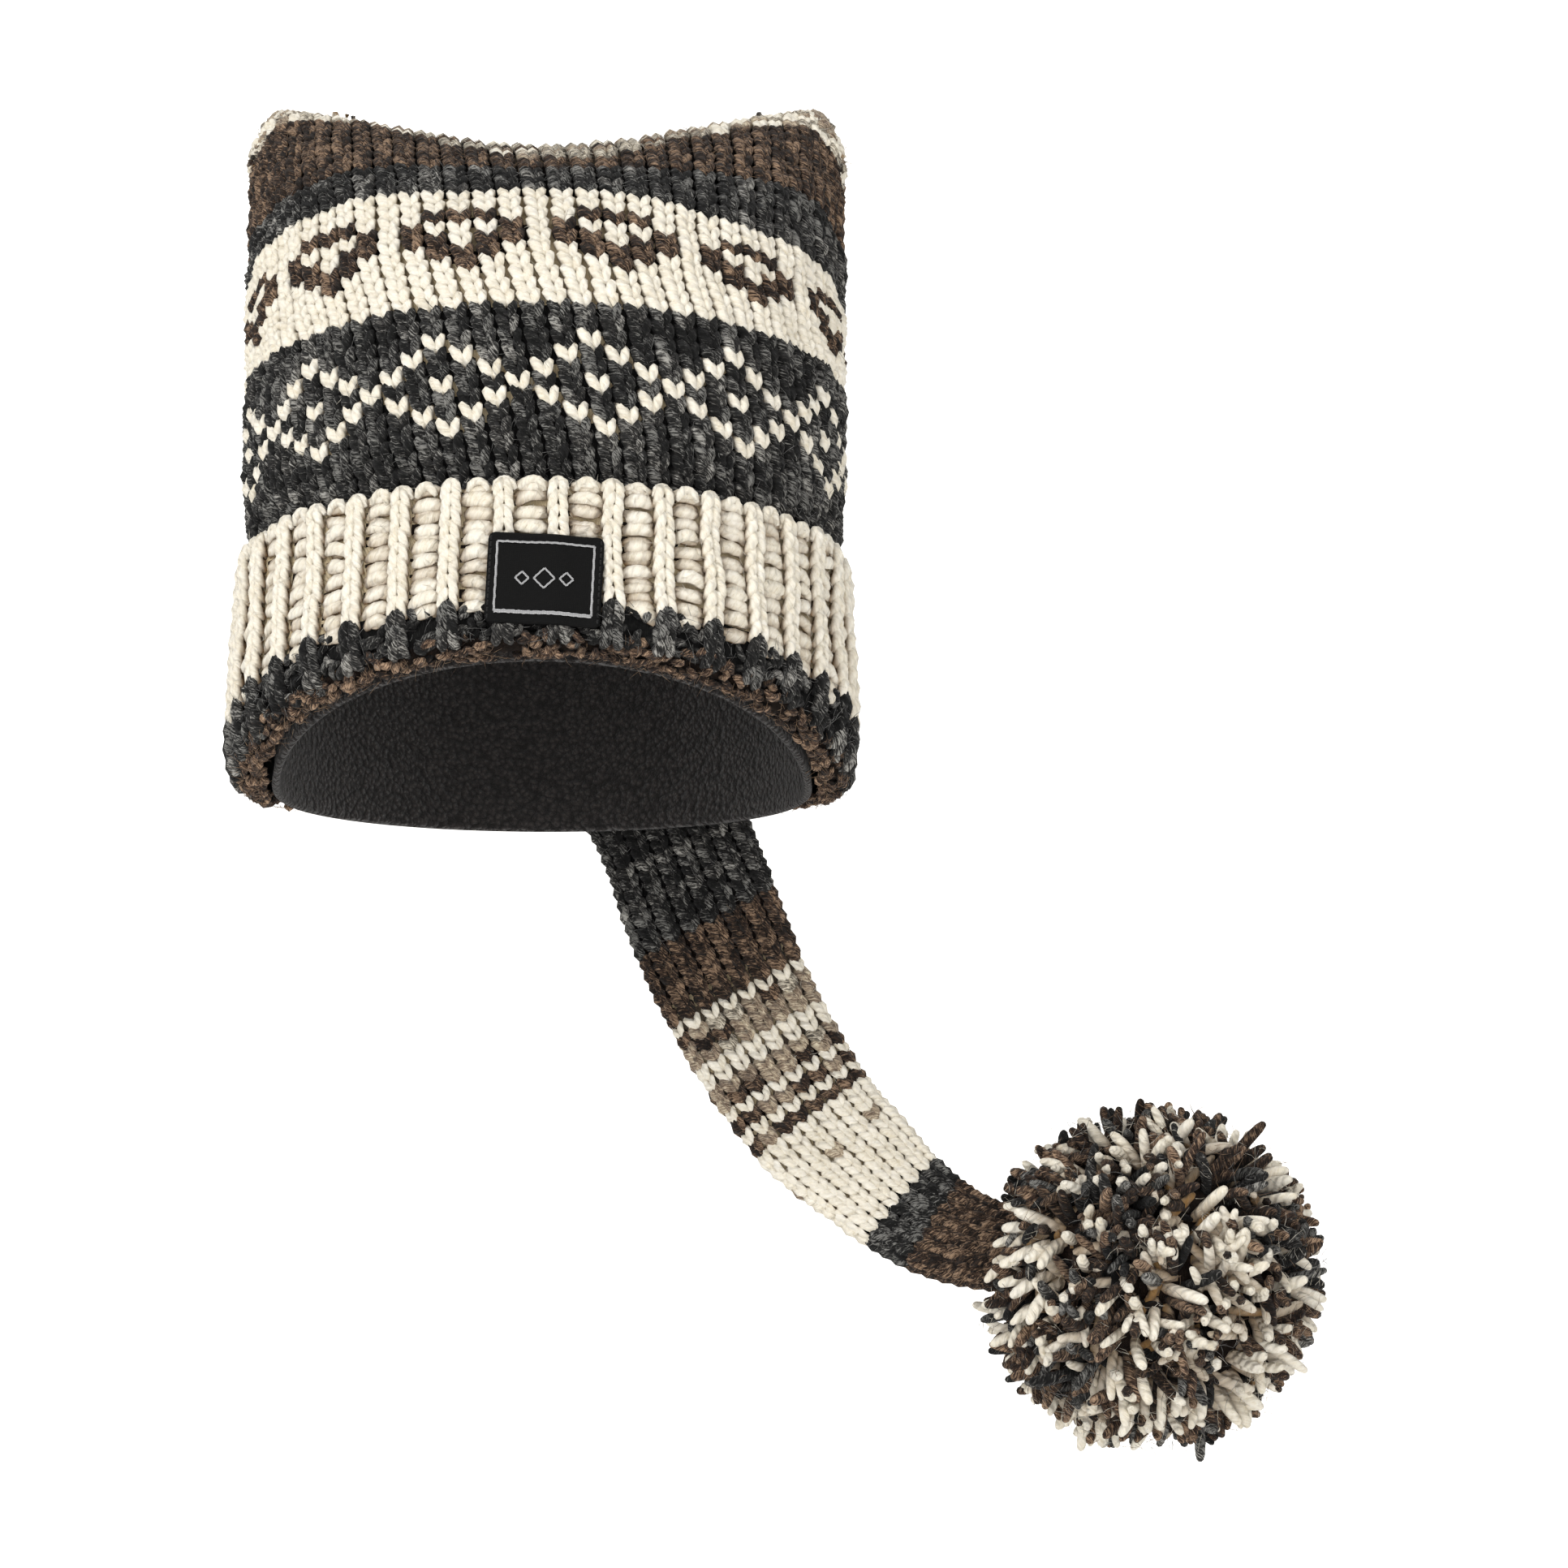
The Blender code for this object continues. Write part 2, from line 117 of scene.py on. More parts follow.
def addTubes(store, path, normal, wide, deep, finish, sides=6, rise=0.0, roundShade=1.0):
    # yarn lengths: path and normal are (tube, station, 3), wide and deep are half thicknesses,
    # and rise is how far the path stands above the fabric's face, which sets how dark the shade painted into the
    # creases is
    count, stations = path.shape[:2]
    along = unit(np.gradient(path, axis=1))
    across = unit(np.cross(along, normal))
    outward = np.cross(across, along)
    turn = np.arange(sides) * 2 * math.pi / sides
    ring = path[:, :, None] + outward[:, :, None] * (deep[..., None] * np.cos(turn))[..., None]
    ring = ring + across[:, :, None] * (wide[..., None] * np.sin(turn))[..., None]
    base = (np.arange(count) * stations * sides)[:, None, None]
    row = (np.arange(stations - 1) * sides)[None, :, None]
    here = np.arange(sides)[None, None, :]
    after = (here + 1) % sides
    quads = np.stack([base + row + here, base + row + after,
                      base + row + sides + after, base + row + sides + here], -1).reshape(-1, 4)
    ends = np.arange(count)[:, None] * stations * sides
    caps = np.concatenate([ends + np.arange(sides)[::-1], ends + (stations - 1) * sides + np.arange(sides)])
    length = np.cumsum(np.linalg.norm(np.diff(path, axis=1, prepend=path[:, :1]), axis=-1), axis=1) * 1000
    length = length + draw.uniform(0, 60, (count, 1))
    around = np.broadcast_to(here / sides, (count, stations - 1, sides))
    low = np.broadcast_to(length[:, :-1, None], around.shape)
    high = np.broadcast_to(length[:, 1:, None], around.shape)
    uv = np.stack([np.stack([around, low], -1), np.stack([around + 1 / sides, low], -1),
                   np.stack([around + 1 / sides, high], -1), np.stack([around, high], -1)], -2)
    capUv = np.stack([np.tile(np.arange(sides) / sides, (2 * count, 1)),
                      np.repeat(np.concatenate([length[:, 0], length[:, -1]])[:, None], sides, 1)], -1)
    tone = np.repeat(draw.uniform(0, 1, count), stations * sides)
    # painted shade: the deeper a point lies between its neighbours, the darker its colour is painted
    above = np.broadcast_to(rise, path.shape[:2])[..., None] + (
        np.broadcast_to(deep, path.shape[:2])[..., None] * np.cos(turn) * roundShade + 0.0012 * (1 - roundShade))
    addPart(store, ring, tone, [quads, caps], [uv, capUv],
            [np.repeat(finish, (stations - 1) * sides), np.tile(finish, 2)], np.clip(0.5 + above / 0.0036, 0, 1))


def addGrid(store, points, finish):
    # a backing sheet of (row, column, 3) points, rows upwards and columns anticlockwise from above
    rows, columns = points.shape[:2]
    index = np.arange(rows * columns).reshape(rows, columns)
    right = np.roll(index, -1, axis=1)
    quads = np.stack([index[:-1], right[:-1], right[1:], index[1:]], -1).reshape(-1, 4)
    flat = points.reshape(-1, 3)[quads]
    size = np.linalg.norm(np.cross(flat[:, 2] - flat[:, 0], flat[:, 3] - flat[:, 1]), axis=1)
    finish = finish.reshape(-1)[size > 1e-9]
    flat, quads = flat[size > 1e-9], quads[size > 1e-9]
    uv = np.stack([flat[..., 0] + flat[..., 1], flat[..., 2]], -1) * 1000
    addPart(store, points, np.full(rows * columns, 0.5), [quads], [uv], [finish])


def addCap(store, ring, finish):
    # closes a ring whose points run anticlockwise as seen from outside
    face = np.arange(len(ring))[None, :]
    addPart(store, ring, np.full(len(ring), 0.5), [face], [np.zeros((1, len(ring), 2))], [np.array([finish])])


def makeMesh(name, store, materials):
    mesh = bpy.data.meshes.new(name)
    points = np.concatenate(store["points"])
    corners = np.concatenate(store["corners"])
    counts = np.concatenate(store["counts"])
    finish = np.concatenate(store["finish"])
    mesh.vertices.add(len(points))
    mesh.vertices.foreach_set("co", points.astype(np.float32).ravel())
    mesh.loops.add(len(corners))
    mesh.loops.foreach_set("vertex_index", corners.astype(np.int32))
    mesh.polygons.add(len(counts))
    mesh.polygons.foreach_set("loop_start", (np.cumsum(counts) - counts).astype(np.int32))
    mesh.polygons.foreach_set("material_index", finish.astype(np.int32))
    mesh.polygons.foreach_set("use_smooth", np.ones(len(counts), bool))
    mesh.update(calc_edges=True)
    mesh.validate()
    mesh.uv_layers.new(name="yarn")
    mesh.uv_layers["yarn"].data.foreach_set("uv", np.concatenate(store["uv"]).astype(np.float32).ravel())
    for key in ("tone", "creaseShade"):
        values = mesh.attributes.new(key, "FLOAT", "POINT")
        values.data.foreach_set("value", np.concatenate(store[key]).astype(np.float32))
    for material in materials:
        mesh.materials.append(material)
    item = bpy.data.objects.new(name, mesh)
    bpy.context.scene.collection.objects.link(item)
    print(name, int((counts - 2).sum()), "triangles")
    return item


def linear(hexColour):
    parts = [int(hexColour[i:i + 2], 16) / 255 for i in (1, 3, 5)]
    return tuple(c / 12.92 if c <= 0.04045 else ((c + 0.055) / 1.055) ** 2.4 for c in parts) + (1.0,)


def addNode(tree, kind, settings=(), links=()):
    node = tree.nodes.new(kind)
    for key, value in dict(settings).items():
        if isinstance(key, int) or key in node.inputs:
            node.inputs[key].default_value = value
        else:
            setattr(node, key, value)
    for key, source in dict(links).items():
        tree.links.new(source, node.inputs[key])
    return node


def addMath(tree, operation, links, **numbers):
    # links are the sockets by number; b and c are plain numbers for the second and third one
    settings = {"operation": operation, **{"bc".index(key) + 1: value for key, value in numbers.items()}}
    return addNode(tree, "ShaderNodeMath", settings, links).outputs[0]


def dressShader(tree, shader, colour, height, strength, distance):
    tree.links.new(colour, shader.inputs["Base Color"])
    bump = addNode(tree, "ShaderNodeBump", {"Strength": strength, "Distance": distance}, {"Height": height})
    tree.links.new(bump.outputs[0], shader.inputs["Normal"])


def newMaterial(name):
    material = bpy.data.materials.new(name)
    material.use_nodes = True
    tree = material.node_tree
    return material, tree, tree.nodes["Principled BSDF"]


def setShader(shader, roughness, specular=0.15, sheen=0.0, sheenRoughness=0.5):
    for key, value in (("Roughness", roughness), ("Specular IOR Level", specular),
                       ("Sheen Weight", sheen), ("Sheen Roughness", sheenRoughness)):
        shader.inputs[key].default_value = value


def addRamp(tree, source, stops):
    ramp = addNode(tree, "ShaderNodeValToRGB", links={0: source})
    elements = ramp.color_ramp.elements
    while len(elements) < len(stops):
        elements.new(0.5)
    for element, (place, colour) in zip(elements, stops):
        element.position = place
        element.color = linear(colour)
    return ramp.outputs[0]


def woolYarn(name, stops, streak=1.0, shade="#5a4a3a", sheen=0.12, legTone=0.14):
    # carded wool, two plies at a turn every 7 mm: dull, with fibre streaks that follow the twist
    # and a faint bloom at grazing angles. U goes once round the yarn and V runs along it in mm.
    plyTurn, plyDepth, streakShare = 7.0, 0.0007, 0.5
    material, tree, shader = newMaterial(name)
    uv = addNode(tree, "ShaderNodeUVMap", {"uv_map": "yarn"})
    split = addNode(tree, "ShaderNodeSeparateXYZ", links={0: uv.outputs[0]})
    tone = addNode(tree, "ShaderNodeAttribute", {"attribute_name": "tone"}).outputs["Fac"]
    slant = addMath(tree, "MULTIPLY_ADD", {0: split.outputs["Y"], 2: split.outputs["X"]}, b=1 / plyTurn)
    fibrePlace = addNode(tree, "ShaderNodeCombineXYZ", links={
        0: addMath(tree, "MULTIPLY", {0: slant}, b=15.0),
        1: addMath(tree, "MULTIPLY", {0: split.outputs["Y"]}, b=0.5),
        2: addMath(tree, "MULTIPLY", {0: tone}, b=40.0)})
    fibre = addNode(tree, "ShaderNodeTexNoise", {"Scale": 1.0, "Detail": 3.0, "Roughness": 0.7},
                    {"Vector": fibrePlace.outputs[0]}).outputs["Fac"]
    where = addNode(tree, "ShaderNodeTexCoord")
    blotch = addNode(tree, "ShaderNodeTexNoise", {"Scale": 420.0, "Detail": 3.0, "Roughness": 0.65},
                     {"Vector": where.outputs["Object"]}).outputs["Fac"]
    spread = addMath(tree, "MULTIPLY_ADD", {0: fibre}, b=streak, c=streakShare - streakShare * streak)
    mixed = addMath(tree, "MULTIPLY_ADD", {0: blotch, 2: spread}, b=0.6)
    toned = addMath(tree, "MULTIPLY_ADD", {0: tone, 2: mixed}, b=legTone)
    centred = addMath(tree, "SUBTRACT", {0: toned}, b=0.30 + legTone / 2)
    # yarn that lies deep between its neighbours is painted warmer and darker: painted shade in the creases
    creaseShade = addNode(tree, "ShaderNodeAttribute", {"attribute_name": "creaseShade"}).outputs["Fac"]
    both = addNode(tree, "ShaderNodeMix", {"data_type": "RGBA", "blend_type": "MULTIPLY", 0: 1.0},
                   {6: addRamp(tree, centred, stops), 7: addRamp(tree, creaseShade, ((0.08, shade), (0.70, "#ffffff")))})
    plyWave = addMath(tree, "SINE", {0: addMath(tree, "MULTIPLY", {0: slant}, b=4 * math.pi)})
    height = addMath(tree, "MULTIPLY_ADD", {0: fibre, 2: plyWave}, b=1.6)
    dressShader(tree, shader, both.outputs[2], height, 0.7, plyDepth)
    setShader(shader, 0.95, sheen=sheen, sheenRoughness=0.6)
    return material


# Greys and browns are heathers: dark wool carded with pale fibres, so their ramps reach far.
# Each row has the name, the ramp's colours, how streaky it is, the colour of the shade painted into creases, the sheen
# and the difference between one stitch leg and the next.
heather, cream, behind = (0.30, 0.48, 0.60, 0.74), (0.22, 0.42, 0.60, 0.80), (0.25, 0.50, 0.74)
brownPlaces, hairPlaces = (0.30, 0.46, 0.58, 0.74), (0.3, 0.5, 0.7)
wools = [woolYarn(name, tuple(zip(places, colours.split())), streak, shade, sheen, legTone)
         for name, places, colours, streak, shade, sheen, legTone in (
    ("charcoal heather wool", heather, "#0a0a0a #171716 #2f2e2d #7d7c78", 1.8, "#121211", 0.05, 0.32),
    ("undyed ecru wool", cream, "#d8ccb2 #e9e1cf #f1ebdd #f8f4eb", 0.8, "#96774f", 0.12, 0.14),
    ("brown heather wool", brownPlaces, "#130e0b #2e231c #4c3b2f #967d66", 1.8, "#1c1613", 0.05, 0.28),
    ("russet heather wool", brownPlaces, "#1c1512 #3f3027 #655040 #b0947a", 1.8, "#241b16", 0.05, 0.28),
    ("oatmeal heather wool", (0.28, 0.45, 0.60, 0.76), "#54463a #897766 #b3a38b #d9cdb4", 1.5, "#6a5540", 0.12, 0.14),
    ("ecru and grey marl wool", (0.30, 0.44, 0.58, 0.74), "#4a443d #8d8474 #c0b6a3 #e8e0cf", 1.8, "#4a443c",
     0.12, 0.14),
    ("dark ash heather wool", heather, "#131312 #2b2a29 #52504d #a3a19b", 1.8, "#1c1b1a", 0.05, 0.28),
    # The four wools behind the stitches are the wool seen through the gaps, painted darker than the stitches' own wools
    # as painted shade.
    ("dark wool behind the stitches in painted shade", (0.30, 0.50, 0.74), "#0a0a0a #171717 #2b2b2a", 1.0, "#a0a0a0", 0.0, 0.14),
    ("ecru wool behind the stitches in painted shade", behind, "#b39c77 #cdbb98 #dfd1b4", 1.0, "#d0d0d0", 0.0, 0.14),
    ("brown wool behind the stitches in painted shade", (0.30, 0.50, 0.74), "#0f0b09 #1e1612 #33281f", 1.0, "#808080", 0.0, 0.14),
    ("marl wool behind the stitches in painted shade", behind, "#3a332b #62574a #8a7d6c", 1.0, "#a0a0a0", 0.0, 0.14),
    ("grey wool fibre", hairPlaces, "#5f5f5e #8b8b89 #b5b4b0", 1.0, "#ffffff", 0.12, 0.14),
    ("tan wool fibre", hairPlaces, "#6a5340 #92765b #bda283", 1.0, "#ffffff", 0.12, 0.14))]
(charcoal, ecru, brown, rust, oatmeal, marl, ash,
 darkBackShade, ecruBackShade, brownBackShade, marlBackShade, greyHair, tanHair) = range(len(wools))
shadeOf = np.array([darkBackShade, ecruBackShade, brownBackShade, brownBackShade, marlBackShade, marlBackShade, darkBackShade])
hairOf = np.array([greyHair, ecru, tanHair, tanHair, ecru, ecru, greyHair])


def blackFleece():
    # knitted polyester fleece, brushed: a matt pile that clumps in pebbles of about 1.7 mm
    material, tree, shader = newMaterial("black polyester fleece")
    where = addNode(tree, "ShaderNodeTexCoord").outputs["Object"]
    bend = addNode(tree, "ShaderNodeTexNoise", {"Scale": 500.0, "Detail": 2.0}, {"Vector": where})
    shift = addNode(tree, "ShaderNodeVectorMath", {"operation": "SCALE", "Scale": 0.0016}, {0: bend.outputs["Color"]})
    place = addNode(tree, "ShaderNodeVectorMath", {"operation": "ADD"}, {0: where, 1: shift.outputs[0]})
    pebble = addNode(tree, "ShaderNodeTexVoronoi", {"feature": "SMOOTH_F1", "Scale": 590.0, "Smoothness": 0.6},
                     {"Vector": place.outputs[0]})
    pile = addNode(tree, "ShaderNodeTexNoise", {"Scale": 1500.0, "Detail": 2.0, "Roughness": 0.7}, {"Vector": where})
    rounded = addMath(tree, "MULTIPLY_ADD", {0: pebble.outputs["Distance"]}, b=-1.0, c=0.85)
    both = addMath(tree, "MULTIPLY_ADD", {0: pile.outputs["Fac"], 2: rounded}, b=0.35)
    colour = addRamp(tree, both, ((0.34, "#131110"), (0.60, "#211e1d"), (0.86, "#332f2d")))
    dressShader(tree, shader, colour, both, 1.0, 0.0016)
    setShader(shader, 0.97, specular=0.12, sheen=0.15, sheenRoughness=0.6)
    return material


def wovenThread(name, dark, light, spacing, roughness, sheen):
    # damask-woven polyester: fine crossing threads with a soft gloss, drawn as coarse as they need to show
    material, tree, shader = newMaterial(name)
    uv = addNode(tree, "ShaderNodeUVMap", {"uv_map": "yarn"})
    waves = [addNode(tree, "ShaderNodeTexWave", {"wave_type": "BANDS", "bands_direction": way, "Scale": 0.314 / spacing,
                                                 "Distortion": 0.6, "Detail": 1.0}, {"Vector": uv.outputs[0]})
             for way in "XY"]
    crossing = addMath(tree, "MULTIPLY", {number: wave.outputs["Fac"] for number, wave in enumerate(waves)})
    dressShader(tree, shader, addRamp(tree, crossing, ((0.0, dark), (0.8, light))), crossing, 0.5, 0.00015)
    setShader(shader, roughness, sheen=sheen)
    return material


fleece = blackFleece()
labelWeave = wovenThread("black woven satin", "#030303", "#0d0d0d", 0.45, 0.8, 0.0)
silverThread = wovenThread("silver woven thread", "#8a8a8b", "#dededf", 0.5, 0.45, 0.1)
blackThread = wovenThread("black sewing thread", "#0b0b0b", "#232323", 0.4, 0.6, 0.1)
print("materials made")


def ridgeHeight(share):
    saddle = np.sin(math.pi / 2 * np.minimum(1, share / bag["earSpread"])) ** 2
    cornerStart = 1 - bag["earRoundSide"] / halfWidth
    past = np.clip((share - cornerStart) / (1 - cornerStart), 0, 1)
    return bag["ridgeTop"] + bag["earRise"] * saddle - bag["earRoundDown"] * (1 - np.sqrt(1 - past**2))


def rimHeight(angle):
    soft = bag["rimSoftness"]
    rise = np.sqrt(np.sin(angle) ** 2 + soft**2) - soft
    return bag["rim"] + bag["rimArch"] * rise / (math.sqrt(1 + soft**2) - soft)


def domePoint(x, side, turn):
    share = np.minimum(1, np.abs(x) / halfWidth)
    power = 2 / (bag["domeFullness"] + (bag["earFullness"] - bag["domeFullness"]) * share**2)
    ridge = ridgeHeight(share)
    top = np.where(side < 0, ridge, ridge - 0.0105 * (1 - share**8))
    middle = bag["ridgeSetback"] * (1 - share**2)
    foot = side * halfDepth * np.sqrt(1 - share**2)
    outward = np.clip(np.cos(math.pi / 2 * turn), 0, 1) ** power
    upward = np.clip(np.sin(math.pi / 2 * turn), 0, 1) ** power
    return np.stack([x, middle + (foot - middle) * outward, bag["shoulder"] + (top - bag["shoulder"]) * upward], -1)


crown = {
    "stitches": 72,
    # the bands aren't level: how far from the shoulder (0) to the ridge (1) each one ends, at these shares of the width
    "share": (-0.89, -0.62, -0.32, 0.0, 0.25, 0.57, 0.83),
    "ecruTop": (0.350, 0.367, 0.370, 0.385, 0.370, 0.302, 0.290),
    "charcoalTop": (0.440, 0.475, 0.485, 0.490, 0.478, 0.453, 0.458),
    "brownTop": (0.772, 0.795, 0.633, 0.545, 0.562, 0.677, 0.748),
    "ridgeRow": (42.0, 37.5),
    "leanRows": (0, 12, 17, 45),
    "lean": (0.051, -0.056, -0.120, -0.24),
    "phase": math.radians(12),
    "leg": {"wide": 0.00185, "deep": 0.0019, "sink": 0.0017},
    "backing": (0.0030, 0.0048),  # how deep it lies, and how deep at the fold
    "ridgeSpots": 50,
    "diamond": ("...X..", "..X.X.", ".X...X", "X..X..", ".X...X", "..X.X.", "...X.."),
    "lattice": (".BBB..", "B...B.", "BB.BB.", ".BBB..", "..B..."),
}


def crownTurn(x, row):
    share = x / halfWidth
    ecruTop = np.interp(share, crown["share"], crown["ecruTop"])
    charcoalTop = np.interp(share, crown["share"], crown["charcoalTop"])
    middle, side = crown["ridgeRow"]
    last = middle + (side - middle) * smoothStep(np.abs(share) / 0.9)
    upper = charcoalTop + (1 - charcoalTop) * (row - 26) / (last - 26)
    turn = np.where(row < 26, ecruTop + (charcoalTop - ecruTop) * (row - 22) / 4, upper)
    return np.clip(np.where(row < 22, ecruTop * (row - 12) / 10, turn), 0, 1)


def bagPoint(angle, row):
    side = np.where(np.sin(angle) < 0, -1.0, 1.0)
    x = halfWidth * np.cos(angle)
    dome = domePoint(x, side, crownTurn(x, row))
    height = bag["cuffTop"] + (bag["shoulder"] - bag["cuffTop"]) * row / 12
    below = bag["cuffTop"] + (rimHeight(angle) + 0.0058 - bag["cuffTop"]) * -row / 4
    height = np.where(row < 0, below, height)
    down = (bag["shoulder"] - height) / (bag["shoulder"] - bag["rim"])
    inward = bag["pinch"] * np.interp(down, (0, 0.17, 0.33, 0.40, 0.44, 0.70), (0, 0, 0.1, 0.6, 1, 1))
    wall = np.stack([(halfWidth - inward) * np.cos(angle), (halfDepth - inward) * np.sin(angle), height], -1)
    return np.where((row < 12)[..., None], wall, dome)


def waleAngle(column, row):
    turned = np.interp(row, crown["leanRows"], crown["lean"])
    return -math.pi / 2 + crown["phase"] + 2 * math.pi * column / crown["stitches"] + turned


def crownSurface(column, row):
    angle = waleAngle(column, row)
    # hand knitting never lies quite even
    uneven = 0.0005 * np.sin(column * 1.9 + row * 0.31) + 0.0004 * np.sin(row * 1.37 - column * 0.83)
    point = bagPoint(angle, row)
    return point + uneven[..., None] * np.stack([np.cos(angle), np.sin(angle), 0 * angle], -1)


def crownWool(column, row, x):
    column, row = np.floor(column).astype(int), np.floor(row).astype(int)
    wool = np.where((row >= 12) & (row < 22), ecru, charcoal)
    for chart, lowest, mark, yarn, shift in (
            (crown["diamond"], 3, "X", ecru, 3), (crown["lattice"], 15, "B", brown, 0)):
        for step, line in enumerate(reversed(chart)):
            marks = np.array([letter == mark for letter in line])
            wool[(row == lowest + step) & marks[(column + shift) % 6]] = yarn
    # brown heather above, then a marl that is palest at the two corners
    share = x / halfWidth
    pick = np.abs(np.sin(column * 12.99 + row * 78.23) * 437.58) % 1
    corner = smoothStep((np.abs(share) - 0.35) / 0.25)
    mixed = np.where(pick < 0.10 + 0.32 * corner, ecru, np.where(pick < 0.70, marl, oatmeal))
    mixed = np.where((pick > 0.86) & (corner < 0.5), brown, mixed)
    upper = np.where(crownTurn(x, row + 0.5) < np.interp(share, crown["share"], crown["brownTop"]), brown, mixed)
    flecked = np.where((wool == charcoal) & (pick < 0.22), ash, wool)
    return np.where(row < 26, flecked, upper)


knitLeg = {  # shares of the stitch's width and of the row, and the depth in metres
    "across": np.array([0.055, 0.12, 0.215, 0.295, 0.335]),
    "up": np.array([-0.18, 0.19, 0.62, 1.05, 1.42]),
    "depth": np.array([-0.0009, 0.0004, 0.0009, 0.0003, -0.0016]),
    "fill": np.array([0.50, 0.92, 1.0, 0.93, 0.50]),
}
ribLeg = {  # the rib's knit columns are pulled long and slender
    "across": np.array([0.06, 0.11, 0.175, 0.235, 0.29]),
    "up": np.array([-0.30, 0.14, 0.62, 1.10, 1.50]),
    "depth": np.array([-0.0014, 0.0004, 0.0010, 0.0004, -0.0014]),
    "fill": np.array([0.55, 0.95, 1.0, 0.95, 0.55]),
}


def addKnit(store, surface, column, row, finish, leg, shape=knitLeg, tipUp=False, plump=1.0, sides=6):
    count = len(column)
    plump = np.broadcast_to(plump, count)[:, None]
    for hand, swell, reach in ((-1, 1.07, 1.08), (1, 0.95, 0.92)):
        shift = draw.normal(0, 0.018, (count, 1))
        lift = draw.normal(0, 0.035, (count, 1))
        across = column[:, None] + hand * reach * shape["across"] + shift
        up = row[:, None] + (1 - shape["up"] if tipUp else shape["up"]) + lift
        point, normal = surfaceFrame(surface, across, up)
        proud = shape["depth"] - leg["sink"] + draw.normal(0, 0.00014, (count, 1))
        size = shape["fill"] * swell * plump * (1 + draw.normal(0, 0.05, (count, 1)))
        addTubes(store, point + normal * proud[..., None], normal, leg["wide"] * size, leg["deep"] * size, finish,
                 sides, rise=proud + leg["sink"] - 0.0004)


tail = {
    "fall": 0.360,
    "sway": 0.158,
    "width": 0.048,
    "topWidth": 0.190,
    "thickness": 0.0105,
    "ease": 0.0010,
    "rowPitch": 0.0042,
    "tuckUnder": 0.005,
    "backing": 0.0024,
    "stitches": 16,
    "widest": 0.0067,  # a stitch on the hidden part is no wider
    "rows": (  # down, over, width
        (0.250, 0.010, 2.50), (0.335, 0.045, 2.04), (0.418, 0.105, 1.55), (0.502, 0.170, 1.17),
        (0.585, 0.240, 0.95), (0.670, 0.310, 1.00), (0.748, 0.395, 1.03), (0.820, 0.487, 1.00),
        (0.878, 0.576, 0.95), (0.917, 0.667, 0.88), (0.952, 0.751, 0.79), (0.980, 0.842, 0.70),
        (0.994, 0.925, 0.62), (1.000, 1.000, 0.58)),
    "leg": {"wide": 0.00160, "deep": 0.0016, "sink": 0.0014},
}


def backRest(x, z):
    overCuff = smoothStep((bag["cuffTop"] + 0.0275 - z) / 0.025)
    stand = overCuff * (0.0055 * 1.4 + 0.0009 + bag["fitGap"] - bag["pinch"])
    reach = halfWidth + stand
    x = np.clip(x, -0.85 * reach, 0.85 * reach)
    return (halfDepth + stand) * np.sqrt(1 - (x / reach) ** 2)


def tailSkin():
    # rings of the tail's outside, anticlockwise from above, from the middle of its inner face
    shares = -np.cos(math.pi * np.arange(25) / 24)
    shares = np.sign(shares) * np.abs(shares) ** 0.8
    firstWidth = tail["rows"][0][2] * tail["width"]
    freeRest = backRest(0.30 * tail["sway"], bag["rim"]) + tail["thickness"] / 2
    sections = []
    for turn in np.arange(18) / 18:
        eased = turn**1.1
        width = tail["topWidth"] + (firstWidth - tail["topWidth"]) * eased
        middle = tail["rows"][0][1] * tail["sway"] * eased
        section = domePoint(middle + width / 2 * shares, 1.0, 1 - turn)
        sections.append(section + np.array([0, 0.0015 * (1 - eased), 0]))
    place = np.linspace(0, 1, 57)
    rows = easedRows(tail["rows"], place)
    ahead = easedRows(tail["rows"], np.minimum(1, place + 0.01))
    behind = easedRows(tail["rows"], np.maximum(0, place - 0.01))
    for here, after, before, at in zip(rows, ahead, behind, place):
        run = unit(np.array([(after[1] - before[1]) * tail["sway"], (before[0] - after[0]) * tail["fall"]]))
        lean = smoothStep(at / 0.30)
        side = unit(np.array([1.0, 0.0]) * (1 - lean) + np.array([-run[1], run[0]]) * lean)
        level = bag["ridgeTop"] - here[0] * tail["fall"]
        free = smoothStep((bag["rim"] + bag["rimArch"] - level) / 0.075)
        x = here[1] * tail["sway"] + side[0] * shares * here[2] * tail["width"] / 2
        z = level + side[1] * shares * here[2] * tail["width"] / 2
        sections.append(np.stack([x, backRest(x, z) * (1 - free) + freeRest * free, z], -1))
    sections = np.array(sections)
    normals = unit(np.cross(np.gradient(sections, axis=1), -np.gradient(sections, axis=0))) * -1
    normals[0] = unit(np.stack([0 * normals[0][:, 0], np.maximum(normals[0][:, 1], 0.1), normals[0][:, 2]], -1))
    full = ((1 - np.abs(shares) ** 4) ** 0.25)[None, :, None]
    start = sections + normals * tail["ease"]
    outer = start + normals * tail["thickness"] * (0.5 + 0.5 * full)
    inner = start + normals * tail["thickness"] * (0.5 - 0.5 * full)
    rings = np.concatenate([inner[:, 12:], outer[:, -2::-1], inner[:, 1:13]], axis=1)
    step = np.linalg.norm(np.diff(rings, axis=1), axis=-1)
    travelled = np.concatenate([np.zeros((len(rings), 1)), np.cumsum(step, axis=1)], axis=1)
    evened = np.array([
        [np.interp(np.arange(96) / 96 * far[-1], far, ring[:, axis]) for axis in range(3)]
        for far, ring in zip(travelled, rings)]).transpose(0, 2, 1)
    return evened, travelled[:, -1]


tailRings, tailGirth = tailSkin()
tailMiddles = tailRings.mean(axis=1)
tailAlong = np.concatenate([[0], np.cumsum(np.linalg.norm(np.diff(tailMiddles, axis=0), axis=1))])
tailRowCount = int(tailAlong[-1] / tail["rowPitch"])
freeFrom = np.interp(0.585 * tail["fall"], bag["ridgeTop"] - tailMiddles[:, 2], tailAlong)


